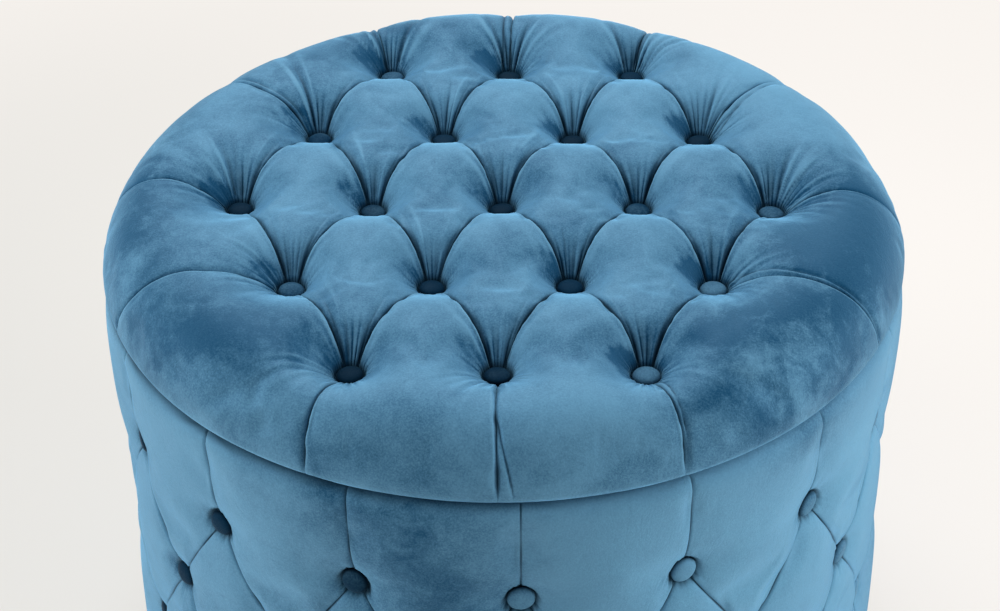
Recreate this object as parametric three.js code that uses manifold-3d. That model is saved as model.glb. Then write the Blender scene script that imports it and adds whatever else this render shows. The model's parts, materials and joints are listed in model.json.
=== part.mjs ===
// A round storage tuffet: a drum-shaped padded body, open at the top, and a deep-buttoned lid that lifts off.
// Millimetres, +Z up. The origin is on the floor, under the middle of the drum, and -Y is the front.

import * as THREE from "three";
import { mergeVertices } from "three/addons/utils/BufferGeometryUtils.js";
import Module from "manifold-3d";

const wasm = await Module();
wasm.setup();

// Driving dimensions of the whole object
const RADIUS = 300;
const BODY_HEIGHT = 350;
const FOOT_HEIGHT = 20;
const LID_TURN = THREE.MathUtils.degToRad(-3.6);

// Gap between pieces that rest on each other, and how far a cutter runs past what it cuts
const FIT = 0.3;
const OVERRUN = 6;

// Facets round a full circle
const ROUND = 40;
const SMALL_ROUND = 8;
const JOINED_ROUND = 6;

// Frame of the body
const BOTTOM_BOARD = 12;
const WALL_BOARD = 4;
const RING_BOARD = 15;
const POST_WIDTH = 40;
const POST_DEPTH = 26;
const POSTS = 6;

// Cloth and card
const HEM = 2;
const HEM_WIDTH = 30;
const TOP_CLOTH = 4;
const LINER = 2;
const FLOOR_PANEL = 3;
const DUST_COVER = 1;
const DUST_COVER_INSET = 18;
const LID_LINING = 1;

// Padding round the drum, and its buttoning
const SIDE_PAD = 22;
const SIDE_CORNER = 9;
const SIDE_COLUMNS = 16;
const SIDE_FIRST_ROW = 88;
const SIDE_ROW_PITCH = 87;
const SIDE_TUFT_DEPTH = 11;
const SIDE_TUFT_REACH = 22;
const SIDE_CREASE_DEPTH = 3;
const SIDE_CREASE_REACH = 11;

// Lid: boards, cushion and buttoning
const LID_BOARD = 15;
const LID_EDGE_PAD = 14;
const SPIGOT_BOARD = 15;
const LID_PLAY = 4;
const LID_FOAM = 43;
const LID_DOME = 6;
const LID_SHOULDER = 58;
const LID_TUCK = 5;
const LID_PITCH = 100;
const LID_ROW_PITCH = 100;
const BUTTON_FOAM = 8;
const LID_TUFT_REACH = 30;
const LID_CREASE_DEPTH = 9;
const LID_CREASE_REACH = 16;
const LID_ROWS = 2;
// Depth of a pleat where it runs out over an edge, as a share of its depth at the button
const PLEAT_END_SHARE = 0.35;

// Covered buttons
const BUTTON_RADIUS = 10;
const BUTTON_BACK_RADIUS = 8.6;
const BUTTON_RIM = 1.4;
const BUTTON_HEIGHT = 6;
// The cap's crown, as shares of its radius and of its height above the rim
const CAP_SHARES = [[1, 0], [0.93, 0.5], [0.58, 0.88]];
const BUTTON_SINK = 1;

// Feet and their screws
const FOOT_RADIUS = 25;
const FOOT_BASE_RADIUS = 22;
const FOOT_CHAMFER = 3;
const FOOT_INSET = 75;
const FEET = 4;
const SCREW_RADIUS = 2;
const SCREW_HEAD_RADIUS = 4.2;
const SCREW_HEAD = 2.6;
const SCREW_GRIP = 9;
const COUNTERBORE_RADIUS = 6;
const COUNTERBORE_DEPTH = 9;

// Steps of the cushions' meshes
const LID_STEPS = 4;
const LID_RIM_STEPS = 6;
const SIDE_STEPS = 3;
const SIDE_EDGE_STEPS = 3;

// Heights, from the floor up
const dustCoverBottom = FOOT_HEIGHT + FIT;
const bodyBottom = dustCoverBottom + DUST_COVER + FIT;
const bottomBoardBottom = bodyBottom + HEM + FIT;
const bottomBoardTop = bottomBoardBottom + BOTTOM_BOARD;
const bodyTop = bodyBottom + BODY_HEIGHT;
const ringTop = bodyTop - TOP_CLOTH - FIT;
const ringBottom = ringTop - RING_BOARD;
const lidBottom = bodyTop + FIT;
const lidBoardBottom = lidBottom + HEM + FIT;
const lidBoardTop = lidBoardBottom + LID_BOARD;
const lidSeat = lidBoardTop + FIT + BUTTON_FOAM;
const lidCrown = lidBoardTop + LID_FOAM;
const spigotTop = lidBoardBottom - FIT;
const spigotBottom = spigotTop - SPIGOT_BOARD;

// How far out the middle of a facet lies, as a share of the radius
const flatShare = Math.cos(Math.PI / ROUND);

// Radii, from the outside in
const wallOuter = RADIUS - SIDE_PAD - FIT;
const wallInner = wallOuter - WALL_BOARD;
const boardRadius = wallInner - FIT;
const postOuter = Math.sqrt((boardRadius * flatShare) ** 2 - (POST_WIDTH / 2) ** 2);
const postInner = postOuter - POST_DEPTH;
const linerOuter = postInner - FIT;
const mouthRadius = linerOuter - LINER;
const hemInner = wallOuter - HEM_WIDTH;
const lidRadius = RADIUS;
const lidBoardRadius = lidRadius - LID_EDGE_PAD;
const lidLiningOuter = mouthRadius - LID_PLAY;
const spigotRadius = lidLiningOuter - LID_LINING - FIT;
const footCircle = RADIUS - FOOT_INSET;

// A closed solid from a geometry whose faces point out
function solidOf(geometry) {
  const bare = new THREE.BufferGeometry();
  bare.setAttribute("position", geometry.getAttribute("position"));
  if (geometry.index) bare.setIndex(geometry.index);
  const merged = mergeVertices(bare, 1e-3);
  const mesh = new wasm.Mesh({
    numProp: 3,
    vertProperties: new Float32Array(merged.attributes.position.array),
    triVerts: new Uint32Array(merged.index.array),
  });
  return new wasm.Manifold(mesh);
}

function geometryOf(solid) {
  const mesh = solid.getMesh();
  const geometry = new THREE.BufferGeometry();
  geometry.setAttribute("position", new THREE.BufferAttribute(mesh.vertProperties, 3));
  geometry.setIndex(new THREE.BufferAttribute(mesh.triVerts, 1));
  return geometry;
}

// Turns a profile of [radius, height] points about Z. A ring's profile is closed by repeating its first
// point.
function revolved(profile, segments) {
  const points = profile.map(([radius, height]) => new THREE.Vector2(radius, height));
  return new THREE.LatheGeometry(points, segments).rotateX(Math.PI / 2);
}

function disc(radius, bottom, top, segments) {
  return revolved([[0, bottom], [radius, bottom], [radius, top], [0, top]], segments);
}

function ring(inner, outer, bottom, top, segments) {
  return revolved([[inner, bottom], [outer, bottom], [outer, top], [inner, top], [inner, bottom]], segments);
}

function cut(body, ...tools) {
  return tools.reduce((left, tool) => left.subtract(solidOf(tool)), body);
}

// Adds the triangles of a grid over the unit square, where place(u, v) gives the point
function addPatch(triangles, across, along, place) {
  for (let i = 0; i < across; i++) {
    for (let j = 0; j < along; j++) {
      const corners = [[i, j], [i + 1, j], [i + 1, j + 1], [i, j + 1]];
      const [a, b, c, d] = corners.map(([m, n]) => place(m / across, n / along));
      triangles.push(a, b, c, a, c, d);
    }
  }
}

// Closes a skin with a fan from one point to the edge that runs along a grid's far side
function addFan(triangles, steps, centre, edge) {
  for (let i = 0; i < steps; i++) triangles.push(centre, edge(i / steps), edge((i + 1) / steps));
}

function geometryFrom(triangles) {
  return new THREE.BufferGeometry().setFromPoints(triangles);
}

const lerp = THREE.MathUtils.lerp;
const between = (a, b, t) => [lerp(a[0], b[0], t), lerp(a[1], b[1], t)];

// Steps bunched towards both ends, where creases run, or towards the far end, where the cover turns over an
// edge
const easeBoth = (t) => (1 - Math.cos(Math.PI * t)) / 2;
const easeOut = (t) => 1 - (1 - t) ** 2;

// A point at share t of the way along a line of points, each stretch taking as much of t
function along(line, t) {
  const place = t * (line.length - 1);
  const stretch = Math.min(Math.floor(place), line.length - 2);
  return between(line[stretch], line[stretch + 1], easeBoth(place - stretch));
}

// A point of the diamond whose front, right and left corners are given
function inDiamond([front, right, left], u, v) {
  const [a, b] = [easeBoth(u), easeBoth(v)];
  return [0, 1].map((axis) => front[axis] + a * (right[axis] - front[axis]) + b * (left[axis] - front[axis]));
}

// Distance from a point to a stretch, and how far along the stretch the nearest point lies
function nearest([x, y], [ax, ay], [bx, by]) {
  const run = (bx - ax) ** 2 + (by - ay) ** 2;
  const t = THREE.MathUtils.clamp(((x - ax) * (bx - ax) + (y - ay) * (by - ay)) / run, 0, 1);
  return [Math.hypot(x - lerp(ax, bx, t), y - lerp(ay, by, t)), t];
}

// What buttoning does at a point of the flat-laid cover. Buttons pull it a share of the way down to their
// seats, and creases between them sink grooves in what is left.
function tuftAt(point, { buttons, creases, pitReach, crease, creaseReach }) {
  let free = 1;
  for (const [x, y] of buttons) {
    const away = Math.hypot(point[0] - x, point[1] - y);
    free *= 1 - Math.exp(-((away / pitReach) ** 1.5));
  }
  let smooth = 1;
  for (const { from, to, endShare } of creases) {
    const [away, t] = nearest(point, from, to);
    smooth *= 1 - lerp(1, endShare, t) * Math.exp(-away / creaseReach);
  }
  return { pull: 1 - free, groove: crease * free * (1 - smooth) };
}

// Covered button: a domed cap pressed over a flat back, standing on z = 0
function buttonGeometry(segments) {
  const capHeight = BUTTON_HEIGHT - BUTTON_RIM;
  const cap = CAP_SHARES.map(([across, up]) => [BUTTON_RADIUS * across, BUTTON_RIM + capHeight * up]);
  return revolved([[0, 0], [BUTTON_BACK_RADIUS, 0], ...cap, [0, BUTTON_HEIGHT]], segments);
}

// The hole that a button sinks into, with its floor at z = 0
function buttonWell() {
  return disc(BUTTON_RADIUS + FIT, 0, BUTTON_HEIGHT + LID_FOAM, SMALL_ROUND);
}

// Lid buttons stand in staggered rows. Each is [column, row], with columns counted in half pitches.
const lidLattice = [];
for (let row = -LID_ROWS; row <= LID_ROWS; row++) {
  const inRow = 2 * LID_ROWS + 1 - Math.abs(row);
  for (let i = 0; i < inRow; i++) lidLattice.push([2 * i - (inRow - 1), row]);
}
const lidPlace = ([column, row]) => [(column * LID_PITCH) / 2, row * LID_ROW_PITCH];
const inLattice = ([column, row]) => lidLattice.some(([c, r]) => c === column && r === row);

// The outer buttons, clockwise from above, from the front one
function outerButtons() {
  const left = [];
  for (let row = -LID_ROWS; row <= LID_ROWS; row++) left.push([Math.abs(row) - 2 * LID_ROWS, row]);
  const right = left.map(([column, row]) => [-column, row]).reverse();
  return [[0, -LID_ROWS], ...left, [0, LID_ROWS], ...right];
}

// Outline of the lid's cover in section, by the distance along the cover from the middle: radius, height
// and lean
const shoulderStart = lidRadius - LID_SHOULDER;
const shoulderDrop = lidCrown - lidBottom - LID_TUCK;
const shoulderRun = (Math.PI / 4) * (LID_SHOULDER + shoulderDrop);
const tuckRun = (Math.PI / 4) * LID_TUCK;
const lidReach = shoulderStart + shoulderRun + tuckRun;

function lidOutline(run) {
  if (run <= shoulderStart) {
    return [run, lidCrown + LID_DOME * (1 - (run / shoulderStart) ** 2), 0];
  }
  if (run <= shoulderStart + shoulderRun) {
    const lean = ((run - shoulderStart) / shoulderRun) * (Math.PI / 2);
    const height = lidBottom + LID_TUCK + shoulderDrop * Math.cos(lean);
    return [shoulderStart + LID_SHOULDER * Math.sin(lean), height, lean];
  }
  const turn = ((run - shoulderStart - shoulderRun) / tuckRun) * (Math.PI / 4);
  const radius = lidRadius - LID_TUCK * (1 - Math.cos(turn));
  return [radius, lidBottom + LID_TUCK * (1 - Math.sin(turn) / Math.sin(Math.PI / 4)), Math.PI / 2];
}

const outer = outerButtons();
const pleatTurns = outer.map(lidPlace).map(([x, y]) => Math.atan2(y, x));
const pleatEnds = pleatTurns.map((turn) => [lidReach * Math.cos(turn), lidReach * Math.sin(turn)]);

const lidTufts = {
  buttons: lidLattice.map(lidPlace),
  creases: [
    ...lidLattice.flatMap(([column, row]) =>
      [[column - 1, row + 1], [column + 1, row + 1]]
        .filter(inLattice)
        .map((next) => ({ from: lidPlace([column, row]), to: lidPlace(next), endShare: 1 })),
    ),
    ...outer.map((button, i) => ({ from: lidPlace(button), to: pleatEnds[i], endShare: PLEAT_END_SHARE })),
  ],
  pitReach: LID_TUFT_REACH,
  crease: LID_CREASE_DEPTH,
  creaseReach: LID_CREASE_REACH,
};

// A point of the flat-laid lid cover, put on the cushion
function onLid(point) {
  const run = Math.hypot(...point);
  const [radius, height, lean] = lidOutline(run);
  const fade = 1 - THREE.MathUtils.smoothstep(run, lidReach - tuckRun, lidReach);
  const { pull, groove } = tuftAt(point, lidTufts);
  const out = radius - groove * fade * Math.sin(lean);
  const scale = run > 0 ? out / run : 0;
  const sunk = lerp(height, Math.min(height, lidSeat), pull * fade) - groove * fade * Math.cos(lean);
  return new THREE.Vector3(point[0] * scale, point[1] * scale, sunk);
}

function lidCushion() {
  const skin = [];
  for (const [column, row] of lidLattice) {
    const corners = [[column, row], [column + 1, row + 1], [column - 1, row + 1], [column, row + 2]];
    if (!corners.every(inLattice)) continue;
    const places = corners.map(lidPlace);
    addPatch(skin, LID_STEPS, LID_STEPS, (u, v) => onLid(inDiamond(places, u, v)));
  }
  outer.forEach((button, i) => {
    const next = outer[(i + 1) % outer.length];
    const inner = [button, next];
    if (button[1] === next[1]) {
      inner.splice(1, 0, [(button[0] + next[0]) / 2, button[1] - Math.sign(button[1])]);
    }
    const line = inner.map(lidPlace);
    const start = pleatTurns[i];
    const sweep = -THREE.MathUtils.euclideanModulo(start - pleatTurns[(i + 1) % outer.length], 2 * Math.PI);
    const rim = (u) => [lidReach * Math.cos(start + u * sweep), lidReach * Math.sin(start + u * sweep)];
    const steps = LID_STEPS * (line.length - 1);
    addPatch(skin, steps, LID_RIM_STEPS, (u, v) => onLid(between(along(line, u), rim(u), v)));
    addFan(skin, steps, new THREE.Vector3(0, 0, lidBottom), (u) => onLid(rim(u)));
  });
  const boardPocket = disc(lidBoardRadius + FIT, lidBottom + HEM, lidBoardTop + FIT, ROUND);
  const opening = disc(lidLiningOuter + FIT, lidBottom - OVERRUN, lidBoardBottom, ROUND);
  const wells = lidTufts.buttons.map(([x, y]) => buttonWell().translate(x, y, lidSeat));
  return geometryOf(cut(solidOf(geometryFrom(skin)), boardPocket, opening, ...wells));
}

// The drum's cover is laid flat by angle times radius across, and by height
const sidePitch = (2 * Math.PI * RADIUS) / SIDE_COLUMNS;
const sideRows = [0, 1, 2].map((row) => bodyTop - SIDE_FIRST_ROW - row * SIDE_ROW_PITCH);
const sideTop = bodyTop + SIDE_CORNER * (Math.PI / 2 - 1);
const sideBottom = bodyBottom - SIDE_CORNER * (Math.PI / 2 - 1);
const sideSeat = RADIUS - SIDE_TUFT_DEPTH;

// Buttons of a row, numbered round the drum from the front. The middle row stands half a pitch round.
const sideButton = (column, row) => [(column + (row === 1 ? 0.5 : 0)) * sidePitch, sideRows[row]];

function sideTufts() {
  const buttons = [];
  const creases = [];
  for (let column = -2; column <= SIDE_COLUMNS + 1; column++) {
    for (const row of [0, 1, 2]) buttons.push(sideButton(column, row));
    const [x] = sideButton(column, 0);
    creases.push({ from: sideButton(column, 0), to: [x, sideTop], endShare: PLEAT_END_SHARE });
    creases.push({ from: sideButton(column, 2), to: [x, sideBottom], endShare: PLEAT_END_SHARE });
    for (const row of [0, 2]) {
      creases.push({ from: sideButton(column, row), to: sideButton(column, 1), endShare: 1 });
      creases.push({ from: sideButton(column, row), to: sideButton(column - 1, 1), endShare: 1 });
    }
  }
  return {
    buttons,
    creases,
    pitReach: SIDE_TUFT_REACH,
    crease: SIDE_CREASE_DEPTH,
    creaseReach: SIDE_CREASE_REACH,
  };
}

const sideTuftSet = sideTufts();

// A point of the flat-laid drum cover, put on the drum
function onSide([x, y]) {
  const angle = x / RADIUS;
  const topTurn = Math.max(0, (y - bodyTop + SIDE_CORNER) / SIDE_CORNER);
  const bottomTurn = Math.max(0, (bodyBottom + SIDE_CORNER - y) / SIDE_CORNER);
  const turn = topTurn + bottomTurn;
  const fade = 1 - THREE.MathUtils.smoothstep(turn, 0, Math.PI / 2);
  const { pull, groove } = tuftAt([x, y], sideTuftSet);
  const edge = RADIUS - SIDE_CORNER * (1 - Math.cos(turn));
  const radius = lerp(edge, Math.min(edge, sideSeat), pull * fade) - groove * fade;
  let height = y;
  if (topTurn > 0) height = bodyTop - SIDE_CORNER * (1 - Math.sin(turn));
  if (bottomTurn > 0) height = bodyBottom + SIDE_CORNER * (1 - Math.sin(turn));
  return new THREE.Vector3(radius * Math.sin(angle), -radius * Math.cos(angle), height);
}

// Stands a geometry that points up at the drum's front, facing out, and turns it to a column
function onDrum(geometry, [x, y], radius) {
  return geometry.rotateX(Math.PI / 2).translate(0, -radius, y).rotateZ(x / RADIUS);
}

function sideCushion(screwHoles) {
  const skin = [];
  const topMiddle = new THREE.Vector3(0, 0, bodyTop);
  const bottomMiddle = new THREE.Vector3(0, 0, bodyBottom);
  for (let column = 0; column < SIDE_COLUMNS; column++) {
    const diamond = [sideButton(column, 2), sideButton(column, 1), sideButton(column - 1, 1)];
    addPatch(skin, SIDE_STEPS, SIDE_STEPS, (u, v) => onSide(inDiamond(diamond, u, v)));
    const steps = 2 * SIDE_STEPS;
    const upper = [sideButton(column, 0), sideButton(column, 1), sideButton(column + 1, 0)];
    const top = (u) => [(column + u) * sidePitch, sideTop];
    addPatch(skin, steps, SIDE_EDGE_STEPS, (u, v) => onSide(between(along(upper, u), top(u), easeOut(v))));
    addFan(skin, steps, topMiddle, (u) => onSide(top(u)));
    const lower = [sideButton(column + 1, 2), sideButton(column, 1), sideButton(column, 2)];
    const bottom = (u) => [(column + 1 - u) * sidePitch, sideBottom];
    addPatch(skin, steps, SIDE_EDGE_STEPS, (u, v) => onSide(between(along(lower, u), bottom(u), easeOut(v))));
    addFan(skin, steps, bottomMiddle, (u) => onSide(bottom(u)));
  }
  const wallPocket = disc(wallOuter + FIT, bodyBottom + HEM, ringTop + FIT, ROUND);
  const mouth = disc(mouthRadius, ringTop, bodyTop + OVERRUN, ROUND);
  const underside = disc(hemInner, bodyBottom - OVERRUN, bottomBoardBottom, ROUND);
  const wells = [];
  const joined = [];
  for (let column = 0; column < SIDE_COLUMNS; column++) {
    wells.push(onDrum(buttonWell(), sideButton(column, 0), sideSeat));
    for (const row of [1, 2]) {
      joined.push(onDrum(buttonGeometry(JOINED_ROUND), sideButton(column, row), sideSeat - BUTTON_SINK));
    }
  }
  const padding = cut(solidOf(geometryFrom(skin)), wallPocket, mouth, underside, ...wells, ...screwHoles);
  return geometryOf(joined.reduce((solid, button) => solid.add(solidOf(button)), padding));
}

// A moulded glide with a counterbore for its screw, standing on the floor
function footGeometry() {
  const bore = SCREW_RADIUS + FIT;
  const profile = [
    [bore, COUNTERBORE_DEPTH],
    [COUNTERBORE_RADIUS, COUNTERBORE_DEPTH],
    [COUNTERBORE_RADIUS, 0],
    [FOOT_BASE_RADIUS, 0],
    [FOOT_RADIUS, FOOT_CHAMFER],
    [FOOT_RADIUS, FOOT_HEIGHT],
    [bore, FOOT_HEIGHT],
    [bore, COUNTERBORE_DEPTH],
  ];
  return revolved(profile, 2 * SMALL_ROUND);
}

const screwTip = bottomBoardBottom + SCREW_GRIP;

// A pan-head screw that points up, with its head against the counterbore
function screwGeometry() {
  const seat = COUNTERBORE_DEPTH - FIT;
  const profile = [
    [0, seat - SCREW_HEAD],
    [SCREW_HEAD_RADIUS - SCREW_HEAD / 2, seat - SCREW_HEAD],
    [SCREW_HEAD_RADIUS, seat - SCREW_HEAD / 2],
    [SCREW_HEAD_RADIUS, seat],
    [SCREW_RADIUS, seat],
    [SCREW_RADIUS, screwTip - SCREW_RADIUS],
    [0, screwTip],
  ];
  return revolved(profile, SMALL_ROUND);
}

// Puts a geometry that stands on the axis at a foot's place
function atFoot(geometry, foot) {
  return geometry.translate(footCircle, 0, 0).rotateZ(((foot + 0.5) / FEET) * 2 * Math.PI);
}

function screwHole() {
  return disc(SCREW_RADIUS + FIT, FOOT_HEIGHT - OVERRUN, screwTip + FIT, SMALL_ROUND);
}

const screwHoles = Array.from({ length: FEET }, (_, foot) => atFoot(screwHole(), foot));

function postGeometry(post) {
  const height = ringBottom - bottomBoardTop - 2 * FIT;
  const batten = new THREE.BoxGeometry(POST_WIDTH, POST_DEPTH, height);
  const middle = (bottomBoardTop + ringBottom) / 2;
  const turn = ((post + 0.5) / POSTS) * 2 * Math.PI;
  return batten.translate(0, -(postOuter + postInner) / 2, middle).rotateZ(turn);
}

function bottomBoard() {
  const board = disc(boardRadius, bottomBoardBottom, bottomBoardTop, ROUND);
  return geometryOf(cut(solidOf(board), ...screwHoles));
}

function dustCover() {
  const radius = wallOuter - DUST_COVER_INSET;
  const cover = disc(radius, dustCoverBottom, dustCoverBottom + DUST_COVER, ROUND);
  return geometryOf(cut(solidOf(cover), ...screwHoles));
}

// Cloth drawn over the locating board and turned up to the lid board
function lidLining() {
  const bottom = spigotBottom - FIT - LID_LINING;
  const profile = [
    [0, bottom],
    [lidLiningOuter, bottom],
    [lidLiningOuter, spigotTop],
    [lidLiningOuter - LID_LINING, spigotTop],
    [lidLiningOuter - LID_LINING, bottom + LID_LINING],
    [0, bottom + LID_LINING],
  ];
  return revolved(profile, ROUND);
}

const velvet = new THREE.MeshStandardMaterial({ color: 0x3f7fa6, roughness: 0.9, metalness: 0 });
const plywood = new THREE.MeshStandardMaterial({ color: 0xcaa874, roughness: 0.7, metalness: 0 });
const lining = new THREE.MeshStandardMaterial({ color: 0x33363a, roughness: 0.95, metalness: 0 });
const blackPlastic = new THREE.MeshStandardMaterial({ color: 0x17181a, roughness: 0.5, metalness: 0 });
const steel = new THREE.MeshStandardMaterial({ color: 0xa8abad, roughness: 0.35, metalness: 1 });

function piece(name, geometry, material) {
  const mesh = new THREE.Mesh(geometry, material);
  mesh.name = name;
  return mesh;
}

const body = new THREE.Group();
body.add(piece("bottom_board", bottomBoard(), plywood));
body.add(piece("wall_board", ring(wallInner, wallOuter, bottomBoardBottom, ringTop, ROUND), plywood));
body.add(piece("top_ring", ring(postInner, boardRadius, ringBottom, ringTop, ROUND), plywood));
for (let post = 0; post < POSTS; post++) body.add(piece("post_" + (post + 1), postGeometry(post), plywood));
body.add(piece("side_cushion", sideCushion(screwHoles), velvet));
body.add(piece("inner_liner", ring(mouthRadius, linerOuter, bottomBoardTop + FIT, ringTop, ROUND), lining));
const floorPanelBottom = bottomBoardTop + FIT;
const floorPanel = disc(mouthRadius - FIT, floorPanelBottom, floorPanelBottom + FLOOR_PANEL, ROUND);
body.add(piece("floor_panel", floorPanel, lining));
body.add(piece("dust_cover", dustCover(), lining));
for (let foot = 0; foot < FEET; foot++) {
  body.add(piece("foot_" + (foot + 1), atFoot(footGeometry(), foot), blackPlastic));
  body.add(piece("foot_screw_" + (foot + 1), atFoot(screwGeometry(), foot), steel));
}
for (let column = 0; column < SIDE_COLUMNS; column++) {
  const button = onDrum(buttonGeometry(SMALL_ROUND), sideButton(column, 0), sideSeat + FIT);
  body.add(piece("side_button_" + (column + 1), button, velvet));
}

const lid = new THREE.Group();
lid.rotation.z = LID_TURN;
lid.add(piece("lid_board", disc(lidBoardRadius, lidBoardBottom, lidBoardTop, ROUND), plywood));
lid.add(piece("lid_cushion", lidCushion(), velvet));
lid.add(piece("locating_board", disc(spigotRadius, spigotBottom, spigotTop, ROUND), plywood));
lid.add(piece("lid_lining", lidLining(), lining));
lidTufts.buttons.forEach(([x, y], i) => {
  const button = buttonGeometry(SMALL_ROUND).translate(x, y, lidSeat + FIT);
  lid.add(piece("lid_button_" + (i + 1), button, velvet));
});

const tuffet = new THREE.Group();
tuffet.add(body, lid);

export default tuffet;
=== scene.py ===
"""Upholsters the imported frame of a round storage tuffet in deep-buttoned velvet, and sets it in a plain studio."""

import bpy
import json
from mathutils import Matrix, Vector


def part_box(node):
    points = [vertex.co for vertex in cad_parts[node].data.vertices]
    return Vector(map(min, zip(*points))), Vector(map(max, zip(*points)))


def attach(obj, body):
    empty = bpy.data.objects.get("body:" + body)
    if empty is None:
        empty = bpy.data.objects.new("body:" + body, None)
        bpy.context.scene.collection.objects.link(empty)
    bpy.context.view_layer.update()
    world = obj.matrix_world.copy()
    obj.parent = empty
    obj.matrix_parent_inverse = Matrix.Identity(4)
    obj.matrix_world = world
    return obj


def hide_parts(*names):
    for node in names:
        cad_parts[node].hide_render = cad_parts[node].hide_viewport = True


bl_info = {
    "name": "Storage Tuffet",
    "version": (1, 0, 0),
    "blender": (4, 5, 0),
    "location": "View3D > Sidebar > Tuffet",
    "description": "Velvet covers, buttons and finishes for a round storage tuffet",
    "category": "Object",
}

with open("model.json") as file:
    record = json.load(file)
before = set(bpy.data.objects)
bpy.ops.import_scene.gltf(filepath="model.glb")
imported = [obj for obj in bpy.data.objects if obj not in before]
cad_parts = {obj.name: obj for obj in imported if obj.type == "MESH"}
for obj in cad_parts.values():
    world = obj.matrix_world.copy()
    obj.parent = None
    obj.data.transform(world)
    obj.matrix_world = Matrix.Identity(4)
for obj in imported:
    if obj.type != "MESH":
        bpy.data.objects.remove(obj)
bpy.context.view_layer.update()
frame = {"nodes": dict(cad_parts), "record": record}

import json
import math
from collections import namedtuple

import bmesh
import bpy
import numpy as np
from mathutils import Matrix, Vector

# Heights and radii that the frame gives
LID_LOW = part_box("lid_cushion")[0].z
BUTTON_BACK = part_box("lid_button_1")[0].z
BUTTON_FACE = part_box("lid_button_1")[1].z
LID_BOARD_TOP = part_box("lid_board")[1].z
DRUM_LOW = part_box("side_cushion")[0].z
DRUM_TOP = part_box("side_cushion")[1].z
LID_TURN = math.radians(-3.6)

CLEARANCE = 0.0003  # between a cover and the board or button that it touches
CLOTH = 0.0008  # thickness of velvet round a board's edge
LINER = 0.002  # thickness of the drum's inside lining
HEM = 0.030  # width of the drum cover's hem under its bottom board
WELD = 2e-5  # points of a cover closer than this are one


# Shader maths


class Value:
    """A number that varies over a surface. Python arithmetic on it adds Math nodes."""

    def __init__(self, shader, socket):
        self.shader = shader
        self.socket = socket

    def math(self, operation, *values):
        return self.shader.add("ShaderNodeMath", {"operation": operation}, values)

    def __add__(self, other):
        return self.math("ADD", self, other)

    def __sub__(self, other):
        return self.math("SUBTRACT", self, other)

    def __rsub__(self, other):
        return self.math("SUBTRACT", other, self)

    def __mul__(self, other):
        return self.math("MULTIPLY", self, other)

    def __abs__(self):
        return self.math("ABSOLUTE", self)

    def sine(self):
        return self.math("SINE", self)

    __radd__ = __add__
    __rmul__ = __mul__


class Shader:
    """A material whose nodes are added one call at a time."""

    def __init__(self, name):
        self.material = bpy.data.materials.new(name)
        self.material.use_nodes = True
        self.tree = self.material.node_tree
        self.surface = self.tree.nodes["Principled BSDF"]

    def add(self, kind, settings=None, values=(), output=0):
        """Adds a node, gives its sockets values or links, by place or by name, and returns an output."""
        node = self.tree.nodes.new(kind)
        for name, setting in (settings or {}).items():
            setattr(node, name, setting)
        pairs = values.items() if isinstance(values, dict) else enumerate(values)
        for place, value in pairs:
            self.feed(node.inputs[place], value)
        return Value(self, node.outputs[output])

    def feed(self, socket, value):
        if isinstance(value, Value):
            self.tree.links.new(value.socket, socket)
        elif value is not None:
            socket.default_value = value

    def place(self):
        return self.add("ShaderNodeTexCoord", output="Object")

    def attribute(self, name):
        return self.add("ShaderNodeAttribute", {"attribute_name": name}, output="Fac")

    def noise(self, scale, detail=4.0, rough=0.5, vector=None, distortion=0.0):
        values = {"Vector": vector or self.place(), "Scale": scale, "Detail": detail, "Roughness": rough}
        values["Distortion"] = distortion
        return self.add("ShaderNodeTexNoise", {}, values, "Fac")

    def stretched(self, scale):
        return self.add("ShaderNodeMapping", {}, {"Vector": self.place(), "Scale": scale})

    def step(self, value, low, high):
        """Rises smoothly from 0 at low to 1 at high."""
        values = {"Value": value, "From Min": low, "From Max": high}
        return self.add("ShaderNodeMapRange", {"interpolation_type": "SMOOTHSTEP"}, values)

    def mix(self, factor, a, b):
        """A colour between a and b."""
        return self.add("ShaderNodeMix", {"data_type": "RGBA"}, {0: factor, 6: a, 7: b}, output=2)

    def bump(self, height, distance, strength=1.0, normal=None):
        values = {"Strength": strength, "Distance": distance, "Height": height, "Normal": normal}
        return self.add("ShaderNodeBump", {}, values)

    def finish(self, **sockets):
        """Sets the surface's sockets: words in their names are joined by underscores."""
        for name, value in sockets.items():
            self.feed(self.surface.inputs[name.replace("_", " ").title().replace("Ior", "IOR")], value)
        return self.material


def opaque(color):
    return (*color[:3], 1.0)


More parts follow.
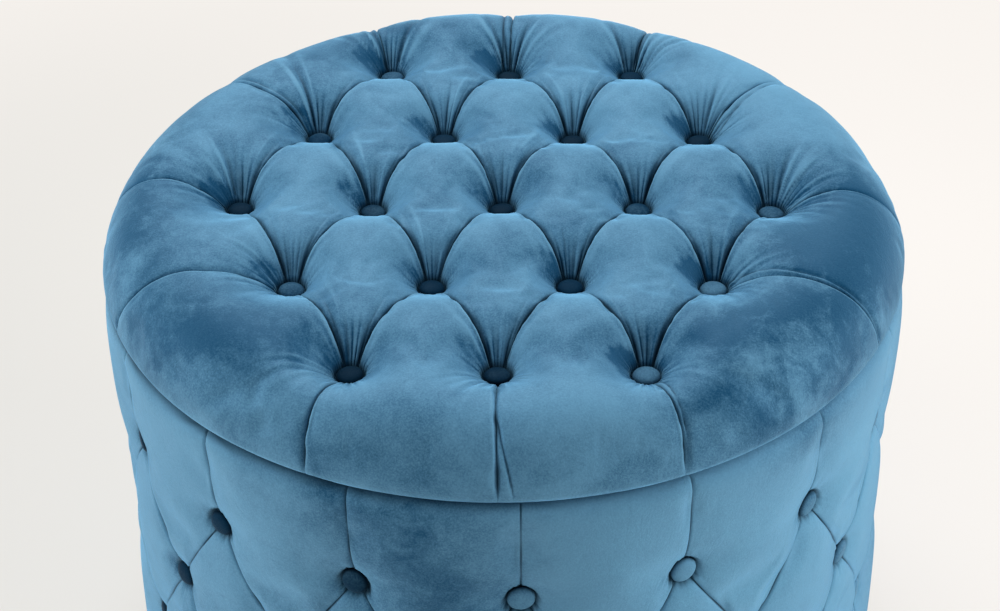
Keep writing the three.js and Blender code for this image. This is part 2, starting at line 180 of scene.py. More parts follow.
def velvet_material(settings, name="finish_velvet", sheen_share=1.0):
    """Short-pile velvet: brushed dark and pale in patches, with painted shade in its folds and painted highlights on
    their crests, and a sheen at glancing angles.
    """
    shader = Shader(name)
    gathered = shader.attribute("gathered")
    swell = abs((shader.attribute("fan") * 0.5).sine())
    # Painted shade in the valleys of the creases round the buttons, and painted highlights on their crests
    painted_valley_shade = gathered * (1.0 - shader.step(swell, 0.0, 0.5))
    painted_crest_highlight = gathered * (shader.step(swell, 0.2, 0.9) - 0.38)
    depth = shader.attribute("depth") + 0.62 * painted_valley_shade
    # The nap attribute holds brushed nap together with painted shade, shadow, sheen and highlights
    nap = shader.attribute("nap") + painted_crest_highlight
    clouds = shader.noise(11.0, 4.0, 0.55, distortion=1.0)
    patches = shader.step(shader.noise(27.0, 2.0, 0.45, distortion=0.6), 0.56, 0.66)
    strokes = shader.noise(1.0, 6.0, 0.7, shader.stretched((85.0, 30.0, 45.0)), 1.5)
    feathers = shader.noise(150.0, 3.0, 0.65, distortion=0.8)
    grain = shader.noise(750.0, 2.0, 0.7)
    mottle = shader.noise(48.0, 3.0, 0.6, distortion=0.8)
    uneven = ((clouds, 1.9), (mottle, 1.1), (strokes, 0.55), (feathers, 0.4))
    blotches = sum((noise - 0.5) * weight for noise, weight in uneven) - 0.2 * patches
    calmer = 0.85 - 0.55 * shader.step(nap, 0.2, 0.55)
    lie_and_light = nap + blotches * calmer + (grain - 0.5) * 0.32
    # brushed carries that painted shade, sheen and highlight too, along with the brushed nap
    brushed = shader.step(lie_and_light, 0.12, 0.88)
    pile = shader.mix(brushed, opaque(settings.dark_nap), opaque(settings.light_nap))
    # Pile tips speckle the surface, and where the pile value runs past 0.8 the tips colour is a painted highlight
    tips_and_highlight_share = (grain - 0.40) * 0.75 * (0.3 + 0.7 * brushed) + 0.5 * shader.step(lie_and_light, 0.80, 1.5)
    pile = shader.mix(tips_and_highlight_share, pile, opaque(settings.tips))
    # Painted shade: the fold colour is mixed in where the depth attribute marks tucks, pits, folds and the drum's edges
    color = shader.mix(shader.step(depth, 0.05, 0.9) * 0.96, pile, opaque(settings.fold))
    folded = shader.bump(swell * gathered, 0.0008, 1.0)
    soft = shader.bump(clouds * 0.6 + strokes * 0.4, 0.0022, 0.5, folded)
    fine = shader.bump(grain * 0.7 + feathers * 0.3, 0.00035, 0.6, soft)
    return shader.finish(
        base_color=color,
        roughness=0.46 + 0.2 * strokes,
        normal=fine,
        sheen_weight=settings.sheen * sheen_share,
        sheen_roughness=settings.sheen_spread,
        sheen_tint=opaque(settings.sheen_tint),
        specular_ior_level=0.45 * sheen_share,
        specular_tint=opaque(settings.shine_tint),
    )


def plywood_material():
    """Bare sanded plywood: long pale grain and a few darker streaks."""
    shader = Shader("finish_plywood")
    grain = shader.noise(1.0, 6.0, 0.6, shader.stretched((14.0, 160.0, 160.0)), 0.8)
    fine = shader.noise(1.0, 3.0, 0.5, shader.stretched((60.0, 900.0, 900.0)))
    pores = shader.step(fine, 0.52, 0.7)
    color = shader.mix(shader.step(grain, 0.35, 0.68), (0.62, 0.43, 0.23, 1), (0.42, 0.26, 0.12, 1))
    color = shader.mix(0.45 * pores, color, (0.26, 0.15, 0.07, 1))
    return shader.finish(base_color=color, roughness=0.55 + 0.2 * grain, normal=shader.bump(fine, 0.0002, 0.6))


def lining_material():
    """Charcoal non-woven lining: a mat of fine fibres with a faint embossed grid of dots."""
    shader = Shader("finish_lining")
    fibres = shader.noise(420.0, 5.0, 0.7, distortion=1.5)
    clouds = shader.noise(18.0, 3.0, 0.5)
    color = shader.mix(fibres * 0.7 + clouds * 0.3, (0.016, 0.017, 0.02, 1), (0.07, 0.074, 0.08, 1))
    grid = {"Vector": shader.place(), "Scale": 380.0, "Randomness": 0.15}
    dots = shader.add("ShaderNodeTexVoronoi", {}, grid, "Distance")
    relief = shader.step(dots, 0.2, 0.5) * 0.6 + fibres * 0.4
    return shader.finish(base_color=color, roughness=0.85 + 0.1 * fibres, normal=shader.bump(relief, 0.0003, 0.6))


def plastic_material():
    """Moulded black plastic with a fine spark-eroded texture and scuffs in patches."""
    shader = Shader("finish_black_plastic")
    grain = shader.noise(1400.0, 2.0, 0.5)
    scuffs = shader.step(shader.noise(60.0, 6.0, 0.75, distortion=1.0), 0.56, 0.72)
    color = shader.mix(0.5 * scuffs, (0.012, 0.012, 0.013, 1), (0.05, 0.05, 0.052, 1))
    return shader.finish(base_color=color, roughness=0.42 + 0.22 * scuffs, normal=shader.bump(grain, 0.0001, 0.5))


def steel_material():
    """Zinc-plated steel, turned, with faint cloudy passivation."""
    shader = Shader("finish_steel")
    clouds = shader.noise(240.0, 4.0, 0.6)
    color = shader.mix(clouds, (0.42, 0.43, 0.44, 1), (0.66, 0.66, 0.63, 1))
    return shader.finish(base_color=color, roughness=0.26 + 0.2 * clouds, metallic=1.0)


# Buttoned covers, worked out on the cover laid flat


def smoothstep(value, low, high):
    t = np.clip((value - low) / (high - low), 0.0, 1.0)
    return t * t * (3.0 - 2.0 * t)


def bell(value, middle, wide):
    """Is 1 at the middle and falls off smoothly over the half width."""
    return np.exp(-(((value - middle) / wide) ** 2))


def wrapped(angle):
    """The same angle, within half a turn of 0."""
    return (angle + math.pi) % (2 * math.pi) - math.pi


def bearing(offset):
    return np.arctan2(offset[:, 1], offset[:, 0])


# Folds at a button. Each has an angle and how far it may stray, in degrees, a depth and the least and greatest share
# of it that is drawn, the shortest and longest, where it starts, its first half width, and how fast it widens, or
# the least and most of that.
Fold = namedtuple("Fold", "degrees stray depth shares lengths start width spread", defaults=(0.0004, 0.032))

DRUM_BUTTONS = 48  # copies of a button past the drum's join draw the same numbers as the button

# The creases that fan out round a button: how many in a turn, and waves that make them uneven, with their height,
# their number in a turn and how fast they shift away from the button
CREASES = 33
CREASE_WAVES = ((1.3, 3, 0.0), (0.9, 5, 60.0), (0.5, 11, -90.0))

# Seeds of the random draws
LID_SEED, BUTTON_SEED, DRUM_SEED, CREASE_SEED, LID_NAP_SEED, DRUM_NAP_SEED = 7, 5, 100, 200, 11, 60

PIT_LIMIT = 0.16  # a button's pit isn't felt beyond this
PLEAT_LIMIT = 0.09  # a pleat's groove isn't felt beyond this
NAP_LIMIT = 0.05  # the pulled nap and its painted shade aren't drawn beyond this
POCKET_WALL = 0.0022  # width of the wall of the pocket that a button sits in
TUCK_WOBBLE = 0.18  # how far the depth of a tuck varies along it, as a share
WOBBLES = 170.0  # how far that turns in a metre, in radians


class Tufting:
    """Buttons, pleats between them and gathers round them, on a cover laid flat. All lengths are in metres."""

    def __init__(self, settings):
        self.settings = settings
        self.buttons = []
        self.pleats = []
        self.gathers = []
        self.fans = []

    def add_pleat(self, start, end, depth_start=1.0, depth_end=1.0):
        self.pleats.append((np.array(start), np.array(end), depth_start, depth_end))

    def add_fold(self, draw, button, back, fold, side=1, share=1.0):
        """Adds a fold on one side of the direction back, and draws its angle, depth, length and, if given, spread."""
        angle = back + side * math.radians(fold.degrees + draw.uniform(-fold.stray, fold.stray))
        depth = fold.depth * share * draw.uniform(*fold.shares)
        length = draw.uniform(*fold.lengths)
        spread = draw.uniform(*fold.spread) if isinstance(fold.spread, tuple) else fold.spread
        self.gathers.append((np.array(button), angle, depth, length, fold.start, fold.width, spread))

    def add_fan(self, draw, button, angle, half, reaches, strengths):
        reach = draw.uniform(*reaches)
        self.fans.append((np.array(button), angle, math.radians(half), reach, draw.uniform(*strengths)))

    def fan(self, flat):
        """Phase of the creases round the nearest button, with a valley at each turn, their strength and their depth."""
        nearest = np.full(len(flat), 9.0)
        phase, uneven, gathered = np.zeros((3, len(flat)))
        for number, button in enumerate(self.buttons):
            offset = flat - button
            away = np.hypot(*offset.T)
            near = away < nearest
            away = away[near]
            nearest[near] = away
            turn = wrapped(bearing(offset[near]) - math.pi / 2)
            start = np.random.RandomState(CREASE_SEED + number % DRUM_BUTTONS).uniform(0, 2 * math.pi, 4)
            phase[near] = CREASES * turn
            for (height, waves, shift), first in zip(CREASE_WAVES, start):
                phase[near] += height * np.sin(waves * turn + first + shift * away)
            uneven[near] = 0.65 + 0.35 * np.sin(7 * turn + start[3])
            gathered[near] = 0.6 * np.exp(-((away / 0.014) ** 4)) * (1 - smoothstep(np.abs(turn), 2.7, 3.0))
        for button, angle, half, reach, strength in self.fans:
            offset = flat - button
            away = np.hypot(*offset.T)
            near = (away < 2.2 * reach) & (away <= nearest + 1e-9)
            turn = wrapped(bearing(offset[near]) - angle)
            spread = 1.0 - smoothstep(np.abs(turn), 0.85 * half, 1.15 * half)
            local = strength * spread * np.exp(-((away[near] / reach) ** 2.5))
            gathered[near] = np.maximum(gathered[near], local)
        gathered *= uneven
        return phase, gathered, gathered * (1 - np.abs(np.sin(phase / 2)))

    def rise(self, flat):
        """How far the cover has come back up from its buttons: 0 under them and 1 away from them."""
        free = np.ones(len(flat))
        edge = self.settings.button_radius * 1.05
        for button in self.buttons:
            offset = flat - button
            away = np.hypot(*offset.T)
            near = away < PIT_LIMIT
            front = 0.5 - 0.5 * offset[near, 1] / np.maximum(away[near], 1e-6)
            reach = self.settings.pit_reach * (1.0 + self.settings.front_reach * front**1.5)
            past = np.maximum(away[near] - edge, 0.0) / reach
            free[near] *= 1.0 - np.exp(-(past**self.settings.pit_power))
        return free

    def lift(self, flat):
        """How far the cover has climbed the wall of the pocket that each button makes: 0 under it, 1 outside."""
        climbed = np.ones(len(flat))
        inner = self.settings.button_radius * 1.02
        for button in self.buttons:
            away = np.hypot(*(flat - button).T)
            climbed = np.minimum(climbed, smoothstep(away, inner, inner + POCKET_WALL))
        return climbed

    def grooves(self, flat):
        """Masks of the pleats' grooves, of the tucks along them and of the lips in front of them."""
        soft = np.ones(len(flat))
        sharp = np.zeros(len(flat))
        lip = np.zeros(len(flat))
        for start, end, depth_start, depth_end in self.pleats:
            run = end - start
            length = math.hypot(*run)
            along = (flat - start) @ run / length**2
            inside = np.clip(along, 0.0, 1.0)
            away = np.hypot(*(flat - start - inside[:, None] * run).T)
            near = away < PLEAT_LIMIT
            depth = (depth_start + (depth_end - depth_start) * inside)[near]
            phase = inside[near] * length * WOBBLES + start @ (40.0, 90.0)
            wobble = 1.0 + TUCK_WOBBLE * np.sin(phase)
            from_end = length * np.minimum(inside[near], 1.0 - inside[near])
            reach = self.settings.pleat_reach * (0.3 + 0.7 * smoothstep(from_end, 0.008, 0.05))
            soft[near] *= 1.0 - depth * np.exp(-away[near] / reach)
            tuck = np.sqrt(depth) * wobble * np.exp(-away[near] / self.settings.tuck_reach)
            sharp[near] = np.maximum(sharp[near], tuck)
            front = np.array([run[1], -run[0]]) / length
            front = front if front[1] < 0 else -front
            ahead = (flat[near] - start) @ front
            within = smoothstep(inside[near], 0.02, 0.12) * smoothstep(1.0 - inside[near], 0.02, 0.12)
            rolled = bell(ahead, self.settings.lip_reach, 0.55 * self.settings.lip_reach)
            lip[near] = np.maximum(lip[near], np.sqrt(depth) * within * rolled)
        return 1.0 - soft, sharp, lip

    def folds(self, flat):
        """Depth of the gathers that fan out from the buttons."""
        total = np.zeros(len(flat))
        for button, angle, depth, length, start, width, spread in self.gathers:
            offset = flat - button
            away = np.hypot(*offset.T)
            near = away < start + 2.2 * length
            heading = np.array([math.cos(angle), math.sin(angle)])
            ahead = offset[near] @ heading
            aside = offset[near] @ np.array([-heading[1], heading[0]])
            half = width + spread * away[near]
            fading = bell(np.maximum(ahead, start), start, length)
            strength = smoothstep(ahead, start - 0.002, start + 0.004) * fading
            ridge = 0.3 * bell(np.abs(aside), 2.6 * half, half)
            valley = np.exp(-np.abs(aside) / half) - ridge
            total[near] += depth * strength * valley
        return total


def grid_patch(bm, across, along, place, ease_along):
    """Adds a grid of quads over the unit square and puts it where place(u, v) says, in arrays."""
    made = bmesh.ops.create_grid(bm, x_segments=across, y_segments=along, size=0.5)["verts"]
    share = np.array([vert.co[:2] for vert in made]) + 0.5
    points = place(share[:, 0], ease_along(share[:, 1]))
    for vert, point in zip(made, points):
        vert.co = (point[0], point[1], 0.0)


def spaced(*stretches):
    """An easing of steps from 0 to 1, from stretches of (length, step at its end) in one unit, the first step last."""
    lengths, steps = [0.0], [stretches[0][1]]
    for length, step in stretches[1:]:
        lengths.append(lengths[-1] + length)
        steps.append(step)
    place = np.linspace(0.0, lengths[-1], 400)
    count = np.concatenate([[0.0], np.cumsum(np.diff(place) / np.interp(place[1:], lengths, steps))])
    return lambda t: np.interp(t, count / count[-1], place / place[-1])


ease_both = spaced((0, 0.3), (5, 1.1), (20, 1.2), (25, 2.4), (25, 1.2), (20, 1.1), (5, 0.3))
ease_start = spaced((0, 0.25), (5, 1.1), (30, 1.3), (60, 2.6), (40, 2.0))
ease_pleat = spaced((0, 0.25), (5, 0.9), (30, 1.2), (45, 2.6), (25, 1.2), (7, 0.3))


def on_line(line, t):
    """Points along a line of points, each stretch taking as much of t, bunched towards its front end most."""
    line = np.array(line)
    place = np.clip(t, 0.0, 1.0) * (len(line) - 1)
    stretch = np.minimum(place.astype(int), len(line) - 2)
    share = place - stretch
    forward = line[stretch + 1][:, 1] > line[stretch][:, 1]
    share = np.where(forward, ease_pleat(share), 1.0 - ease_pleat(1.0 - share))[:, None]
    return line[stretch] * (1.0 - share) + line[stretch + 1] * share


def diamond(front, right, left):
    """A patch over the diamond with these three corners."""
    front, right, left = (np.array(corner) for corner in (front, right, left))
    return lambda u, v: front + ease_pleat(u)[:, None] * (right - front) + ease_pleat(v)[:, None] * (left - front)


def between(inner, rim):
    """A patch from a line of points to a curve."""
    return lambda u, v: on_line(inner, u) * (1.0 - v[:, None]) + rim(u) * v[:, None]


def coordinates(mesh):
    points = np.empty(3 * len(mesh.vertices), np.float32)
    mesh.vertices.foreach_get("co", points)
    return points.reshape(-1, 3).astype(float)


def laid_out(mesh, points):
    """A copy of a mesh with its points moved."""
    moved = mesh.copy()
    moved.vertices.foreach_set("co", points.astype(np.float32).ravel())
    return moved


def linked(name, data):
    """A new object in the scene."""
    made = bpy.data.objects.new(name, data)
    bpy.context.scene.collection.objects.link(made)
    return made


def evaluated(holder):
    """The mesh that an object's modifiers make. The object goes."""
    made = bpy.data.meshes.new_from_object(holder.evaluated_get(bpy.context.evaluated_depsgraph_get()))
    bpy.data.objects.remove(holder)
    return made


def split_faces(mesh, kind):
    """A copy of a mesh with each face split in four."""
    holder = linked("split", mesh)
    surface = holder.modifiers.new("split", "SUBSURF")
    surface.subdivision_type = kind
    surface.levels = surface.render_levels = 1
    return evaluated(holder)


def swollen(mesh, points, held, padding):
    """Lets the cover swell as cloth over its padding, held where held is above 0, and returns how its points move."""
    cloth = linked("cloth", laid_out(mesh, points))
    pins = cloth.vertex_groups.new(name="pins")
    for index in np.flatnonzero(held > 0.01):
        pins.add([int(index)], float(held[index]), "REPLACE")
    swell = cloth.modifiers.new("swell", "CLOTH")
    fabric = {
        "vertex_group_mass": "pins",
        "pin_stiffness": 1.0,
        "quality": 5,
        "mass": 0.15,
        "tension_stiffness": 15.0,
        "compression_stiffness": 15.0,
        "shear_stiffness": 5.0,
        "bending_stiffness": padding.bending,
        "shrink_min": -padding.slack,
        "use_pressure": True,
        "uniform_pressure_force": padding.pressure,
    }
    for key, value in fabric.items():
        setattr(swell.settings, key, value)
    swell.settings.effector_weights.gravity = 0.0
    swell.point_cache.frame_start = 1
    swell.point_cache.frame_end = padding.frames
    for step in range(1, padding.frames + 1):
        bpy.context.scene.frame_set(step)
    settled = evaluated(cloth)
    moved = coordinates(settled) - points
    bpy.data.meshes.remove(settled)
    bpy.context.scene.frame_set(1)
    far = np.linalg.norm(moved, axis=1, keepdims=True) + 1e-9
    return moved * padding.most * np.tanh(far / padding.most) / far


def shape_cover(bm, name, place, hold):
    """Moves all points of a flat-laid cover to where place(flat) says, swells it as cloth, and keeps its attributes."""
    bmesh.ops.remove_doubles(bm, verts=bm.verts, dist=WELD)
    edge = np.array([vert.is_boundary for vert in bm.verts], float)
    mesh = bpy.data.meshes.new(name)
    bm.to_mesh(mesh)
    flat = coordinates(mesh)[:, :2]
    moved = np.zeros((len(flat), 3))
    held = np.maximum(hold(flat), edge)
    moved = swollen(mesh, place(flat)[0], held, bpy.context.scene.tuffet_padding)
    fine = split_faces(mesh, "SIMPLE")
    shift = split_faces(laid_out(mesh, moved), "CATMULL_CLARK")
    shaped, attributes = place(coordinates(fine)[:, :2])
    fine.vertices.foreach_set("co", (shaped + coordinates(shift)).astype(np.float32).ravel())
    for key, values in attributes.items():
        fine.attributes.new(key, "FLOAT", "POINT").data.foreach_set("value", values.astype(np.float32))
    bm.clear()
    bm.from_mesh(fine)
    bmesh.ops.remove_doubles(bm, verts=bm.verts, dist=WELD)


def edge_loop(bm, test):
    """The open edges whose middle passes a test."""
    return [edge for edge in bm.edges if edge.is_boundary and test((edge.verts[0].co + edge.verts[1].co) / 2)]


def extrude_ring(bm, edges, radius, height):
    """Extrudes an open ring to a new radius and height, keeping each point's direction."""
    made = bmesh.ops.extrude_edge_only(bm, edges=edges)["geom"]
    for vert in (item for item in made if isinstance(item, bmesh.types.BMVert)):
        flat = Vector((vert.co.x, vert.co.y)).normalized() * radius
        vert.co = (flat.x, flat.y, height)
    return [item for item in made if isinstance(item, bmesh.types.BMEdge) and item.is_boundary]


def finished_piece(bm, name, body, slot, finish=None):
    """Closes a bmesh into an object that rides on a body."""
    bmesh.ops.recalc_face_normals(bm, faces=bm.faces)
    mesh = bpy.data.meshes.new(name)
    bm.to_mesh(mesh)
    bm.free()
    mesh.shade_smooth()
    piece = linked(name, mesh)
    mesh.materials.append(bpy.data.materials[f"finish_{finish or slot}"])
    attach(piece, body)
    return piece


# The lid's cover


def painted_shade(weights, sharp, painted_pit_shade, folds):
    """Painted shade: how dark the pile is painted in tucks, in the hollows round buttons and in folds, where shade
    falls.
    """
    tuck, pit, fold = weights
    return tuck * sharp + pit * painted_pit_shade + fold * np.maximum(folds, 0)


def tied_down(tufting, flat):
    """How firmly the cover is held: fully at its buttons and mostly along its pleats."""
    buttons = 1.0 - smoothstep(tufting.rise(flat), 0.25, 0.6)
    return np.maximum(buttons, smoothstep(tufting.grooves(flat)[1], 0.3, 0.6))


def lid_lattice(pitch):
    """Places of the lid's buttons, by column in half pitches and row."""
    places = {}
    for row in range(-2, 3):
        count = 5 - abs(row)
        for i in range(count):
            column = 2 * i - (count - 1)
            places[column, row] = np.array([column * pitch / 2, row * pitch])
    return places


def outer_ring():
    """The lid's outer buttons, clockwise from above, from the front one."""
    left = [(abs(row) - 4, row) for row in range(-2, 3)]
    right = [(-column, row) for column, row in reversed(left)]
    return [(0, -2), *left, (0, 2), *right]


# Where each outer button's pleat runs out at the rim, as a share of a half turn from the front, by column and row
PLEAT_SHARES = {
    (0, -2): 0.0045, (-2, -2): -0.135, (-3, -1): -0.368, (-4, 0): -0.512, (-3, 1): -0.694, (-2, 2): -0.874,
    (0, 2): -1.004, (2, 2): -1.132, (3, 1): -1.292, (4, 0): -1.512, (3, -1): -1.645, (2, -2): -1.862,
}
OUTER_PLEAT = 0.70  # depth of such a pleat at its button, as a share of the pleats between buttons

# Outer buttons with a second pleat: how far aside it starts, in millimetres, and where it runs out at the rim
SECOND_PLEATS = {
    (0, -2): (2.5, -70.0, 0.0165), (2, -2): (9.0, -9.0, 0.1395), (0, 2): (-6.0, 4.0, -0.995),
    (-3, 1): (-2.0, 6.0, -0.702), (3, -1): (6.0, 7.0, 0.357), (3, 1): (8.0, -4.0, 0.704),
}
SECOND_PLEAT = 0.20

# Painted shade: how dark the lid and the drum are painted in a tuck, in the hollow round a button, and for each metre
# of a fold's depth
LID_PAINTED_SHADE = (1.3, 0.75, 150.0)
DRUM_PAINTED_SHADE = (0.9, 0.9, 150.0)
RIDGE_PAINTED_HIGHLIGHT = -1300.0  # painted highlight: how much lighter the pile is painted on a fold's ridge, for each metre that it is proud

# Folds at each of the lid's buttons: on both sides behind it, between those, all round it but behind, and wide ones
SIDE_FOLDS = (
    Fold(20.5, 1.5, 0.0040, (0.6, 1.1), (0.032, 0.058), 0.011),
    Fold(24.0, 0.6, 0.0030, (0.4, 1.1), (0.020, 0.044), 0.011, 0.0004, 0.02),
    Fold(35.0, 3.0, 0.0020, (0.2, 1.0), (0.014, 0.030), 0.012),
)
BACK_FOLDS = [
    Fold(angle, 2.2, 0.0027, (0.2, 1.1), (0.012, 0.036), 0.011, 0.0005, 0.045) for angle in (-13, -6, 0.5, 6.5, 13)
]
PUCKERS = [Fold(70 + 22 * i, 7.0, 0.0022, (0.2, 1.0), (0.004, 0.010), 0.0115) for i in range(11)]
DRAPES = [
    Fold(-18 + 12 * i, 5.0, 0.0016, (0.2, 1.0), (0.040, 0.065), 0.014, 0.0015, (0.06, 0.11)) for i in range(4)
]
# Folds from an outer button towards the rim
RIM_FOLDS = [
    Fold(angle, 2.5, 0.0034, (0.3, 1.1), (0.014, 0.036), 0.012)
    for angle in (-47, -38, -30, -22, -14, -7, 8, 15, 23, 31, 40)
]


def spoke(angle, reach):
    return reach * np.array([math.cos(angle), math.sin(angle)])


def lid_outline(settings, run):
    """Radius, height and lean of the lid's cover at a distance along it from the middle."""
    crown = LID_BOARD_TOP + settings.foam
    tuck = settings.tuck
    drop = crown - LID_LOW - tuck
    start = settings.radius - settings.shoulder
    shoulder_run = math.pi / 4 * (settings.shoulder + drop)
    tuck_run = math.pi / 4 * tuck
    flat = np.minimum(run / start, 1.0)
    lean = np.clip((run - start) / shoulder_run, 0.0, 1.0) * math.pi / 2
    turn = np.clip((run - start - shoulder_run) / tuck_run, 0.0, 1.0) * math.pi / 2
    radius = np.minimum(run, start) + settings.shoulder * np.sin(lean) - tuck * (1 - np.cos(turn))
    height = LID_LOW + tuck + drop * np.cos(lean) + settings.dome * (1 - flat**2) - tuck * np.sin(turn)
    return radius, height, lean, start + shoulder_run + tuck_run


def lid_tufting(settings):
    """Buttons, pleats and gathers of the lid."""
    tufting = Tufting(settings)
    lattice = lid_lattice(settings.pitch)
    tufting.buttons = list(lattice.values())
    for (column, row), place in lattice.items():
        for side in (-1, 1):
            if (column + side, row + 1) in lattice:
                tufting.add_pleat(place, lattice[column + side, row + 1])
    reach = float(lid_outline(settings, np.zeros(1))[3])
    ends = {}
    for key in outer_ring():
        angle = math.pi * (PLEAT_SHARES[key] - 0.5)
        ends[key] = angle
        tufting.add_pleat(lattice[key], spoke(angle, reach), OUTER_PLEAT, settings.rim_share)
    for key, (x, y, turn) in SECOND_PLEATS.items():
        tip = spoke(math.pi * (turn - 0.5), reach)
        tufting.add_pleat(lattice[key] + np.array([x, y]) / 1000, tip, SECOND_PLEAT, 0.5 * settings.rim_share)
    draw = np.random.RandomState(LID_SEED)
    for key, place in lattice.items():
        gather_lid_button(tufting, draw, place, ends.get(key))
    return tufting, lattice, ends, reach


def gather_lid_button(tufting, draw, place, out):
    """Gathers the cover at a button, and towards the rim too where a pleat runs out from it."""
    back = math.pi / 2
    for side in (-1, 1):
        for fold in SIDE_FOLDS:
            tufting.add_fold(draw, place, back, fold, side)
    for fold in (*BACK_FOLDS, *PUCKERS, *DRAPES):
        tufting.add_fold(draw, place, back, fold)
    tufting.add_fan(draw, place, back, 27, (0.020, 0.030), (0.8, 1.2))
    if out is not None:
        tufting.add_fan(draw, place, out, 48, (0.018, 0.028), (0.5, 1.0))
        strength = 1.0 if place[0] > 0 and place[1] > -0.05 else 0.5  # deepest at the back on the right
        for fold in RIM_FOLDS:
            tufting.add_fold(draw, place, out, fold, share=strength)


def lid_patches(bm, settings, lattice, ends, reach):
    """Lays the lid's cover flat, as patches whose edges follow the pleats."""
    steps = settings.steps
    for (column, row), place in lattice.items():
        corners = [(column + 1, row + 1), (column - 1, row + 1), (column, row + 2)]
        if all(corner in lattice for corner in corners):
            patch = diamond(place, lattice[corners[0]], lattice[corners[1]])
            grid_patch(bm, steps, steps, patch, lambda v: v)
    ring = outer_ring()
    for key, after in zip(ring, ring[1:] + ring[:1]):
        line = [lattice[key], lattice[after]]
        if key[1] == after[1]:
            line.insert(1, lattice[(key[0] + after[0]) // 2, key[1] - int(np.sign(key[1]))])
        start = ends[key]
        sweep = -((start - ends[after]) % (2 * math.pi))

        def rim(u, start=start, sweep=sweep):
            angle = start + rim_ease(u) * sweep
            return reach * np.stack([np.cos(angle), np.sin(angle)], 1)

        across = steps * (len(line) - 1)
        grid_patch(bm, across, settings.rim_steps, between(line, rim), ease_start)


def rim_ease(u):
    """Steps along the rim, a little bunched at the pleats."""
    return 0.25 * u + 0.75 * ease_both(u)


def lid_points(settings, tufting, flat, creases):
    """The flat-laid lid cover put on its cushion, with its painted shade in tucks, pits and folds, and its painted
    highlight on fold ridges and lips.
    """
    run = np.hypot(*flat.T)
    radius, height, lean, reach = lid_outline(settings, run)
    rise = tufting.rise(flat)
    lift = tufting.lift(flat)
    soft, sharp, lip = tufting.grooves(flat)
    folds = tufting.folds(flat)
    wave = cover_wave(flat, settings.unevenness)
    fade = 1.0 - smoothstep(run, reach - 2.2 * settings.tuck, reach)
    pocket = BUTTON_BACK - CLEARANCE
    rim = BUTTON_FACE - settings.button_sink
    pulled = pocket + (rim - pocket) * lift
    groove = settings.pleat_depth * soft * (0.25 + 0.75 * rise)
    groove += settings.tuck_depth * sharp * (0.5 + 0.5 * rise)
    raised = settings.lip_height * lip * smoothstep(rise, 0.0, 0.3) + wave * rise
    inward = (groove + folds + settings.crease_depth * creases - raised) * lift * fade
    top = np.minimum(height, pulled + (height - pulled) * rise)
    out = radius - inward * np.sin(lean)
    angle = np.arctan2(flat[:, 1], flat[:, 0])
    sunk = height + (top - height) * fade - inward * np.cos(lean)
    points = np.stack([out * np.cos(angle), out * np.sin(angle), sunk], 1)
    points[:, :2] += wander(flat, settings.pitch) * (1.0 - smoothstep(run, 0.20, 0.27))[:, None]
    # Painted shade: the pits round the buttons, the tucks and the folds are painted darker, where shade falls
    painted_pit_shade = 1 - smoothstep(rise, -0.04, 0.13)
    depth = painted_shade(LID_PAINTED_SHADE, sharp, painted_pit_shade, folds)
    # Painted highlight: the proud side of each fold and the lip in front of each pleat are painted lighter
    ridge = np.clip(RIDGE_PAINTED_HIGHLIGHT * folds + 0.5 * lip, 0, 0.8)
    return points, np.clip(depth, 0, 1) * (0.25 + 0.75 * fade), ridge


# How far each of the lid's buttons was tied off its place in the pattern, in millimetres, by column and row
WANDER = {
    (-2, 2): (3.0, 2.4), (0, 2): (0.3, 2.9), (2, 2): (1.9, 3.0),
    (-3, 1): (1.6, 2.3), (-1, 1): (0.9, 2.4), (1, 1): (2.7, 1.6), (3, 1): (2.9, 2.2),
    (-4, 0): (1.2, 1.1), (-2, 0): (2.1, -1.0), (0, 0): (-0.8, 2.8), (2, 0): (1.8, 2.8), (4, 0): (1.9, 0.5),
    (-3, -1): (1.0, -2.6), (-1, -1): (1.6, 0.9), (1, -1): (0.7, 3.0), (3, -1): (2.9, 2.2),
    (-2, -2): (1.6, -0.4), (0, -2): (1.2, 0.1), (2, -2): (2.1, 2.0),
}
WANDER_REACH = 0.045  # how far round a button the cover goes with it


def wander(flat, pitch):
    """How far the cover shifts sideways where the buttons were tied off their places."""
    total = np.zeros((len(flat), 2))
    weight = np.full(len(flat), 1e-9)
    for (column, row), shift in WANDER.items():
        away = np.hypot(flat[:, 0] - column * pitch / 2, flat[:, 1] - row * pitch)
        near = bell(away, 0.0, WANDER_REACH) + 1e-6
        total += near[:, None] * np.array(shift) / 1000
        weight += near
    return total / weight[:, None]


def cover_wave(flat, height):
    """A slow unevenness of the padding."""
    x, y = flat.T * 26.0
    wave = np.sin(x + 1.7 * np.sin(0.7 * y + 0.4)) + np.sin(0.9 * y + 1.3 * np.sin(0.8 * x + 2.0) + 1.1)
    wave += 0.6 * np.sin(2.3 * x - 1.1 * y + 1.9 * np.sin(1.1 * x))
    return height * wave / 2.6


def turned(points, angle):
    c, s = math.cos(angle), math.sin(angle)
    return points @ np.array([[c, s, 0.0], [-s, c, 0.0], [0.0, 0.0, 1.0]])


LID_NAP = 0.55  # how far the pile stands up where nothing has brushed it

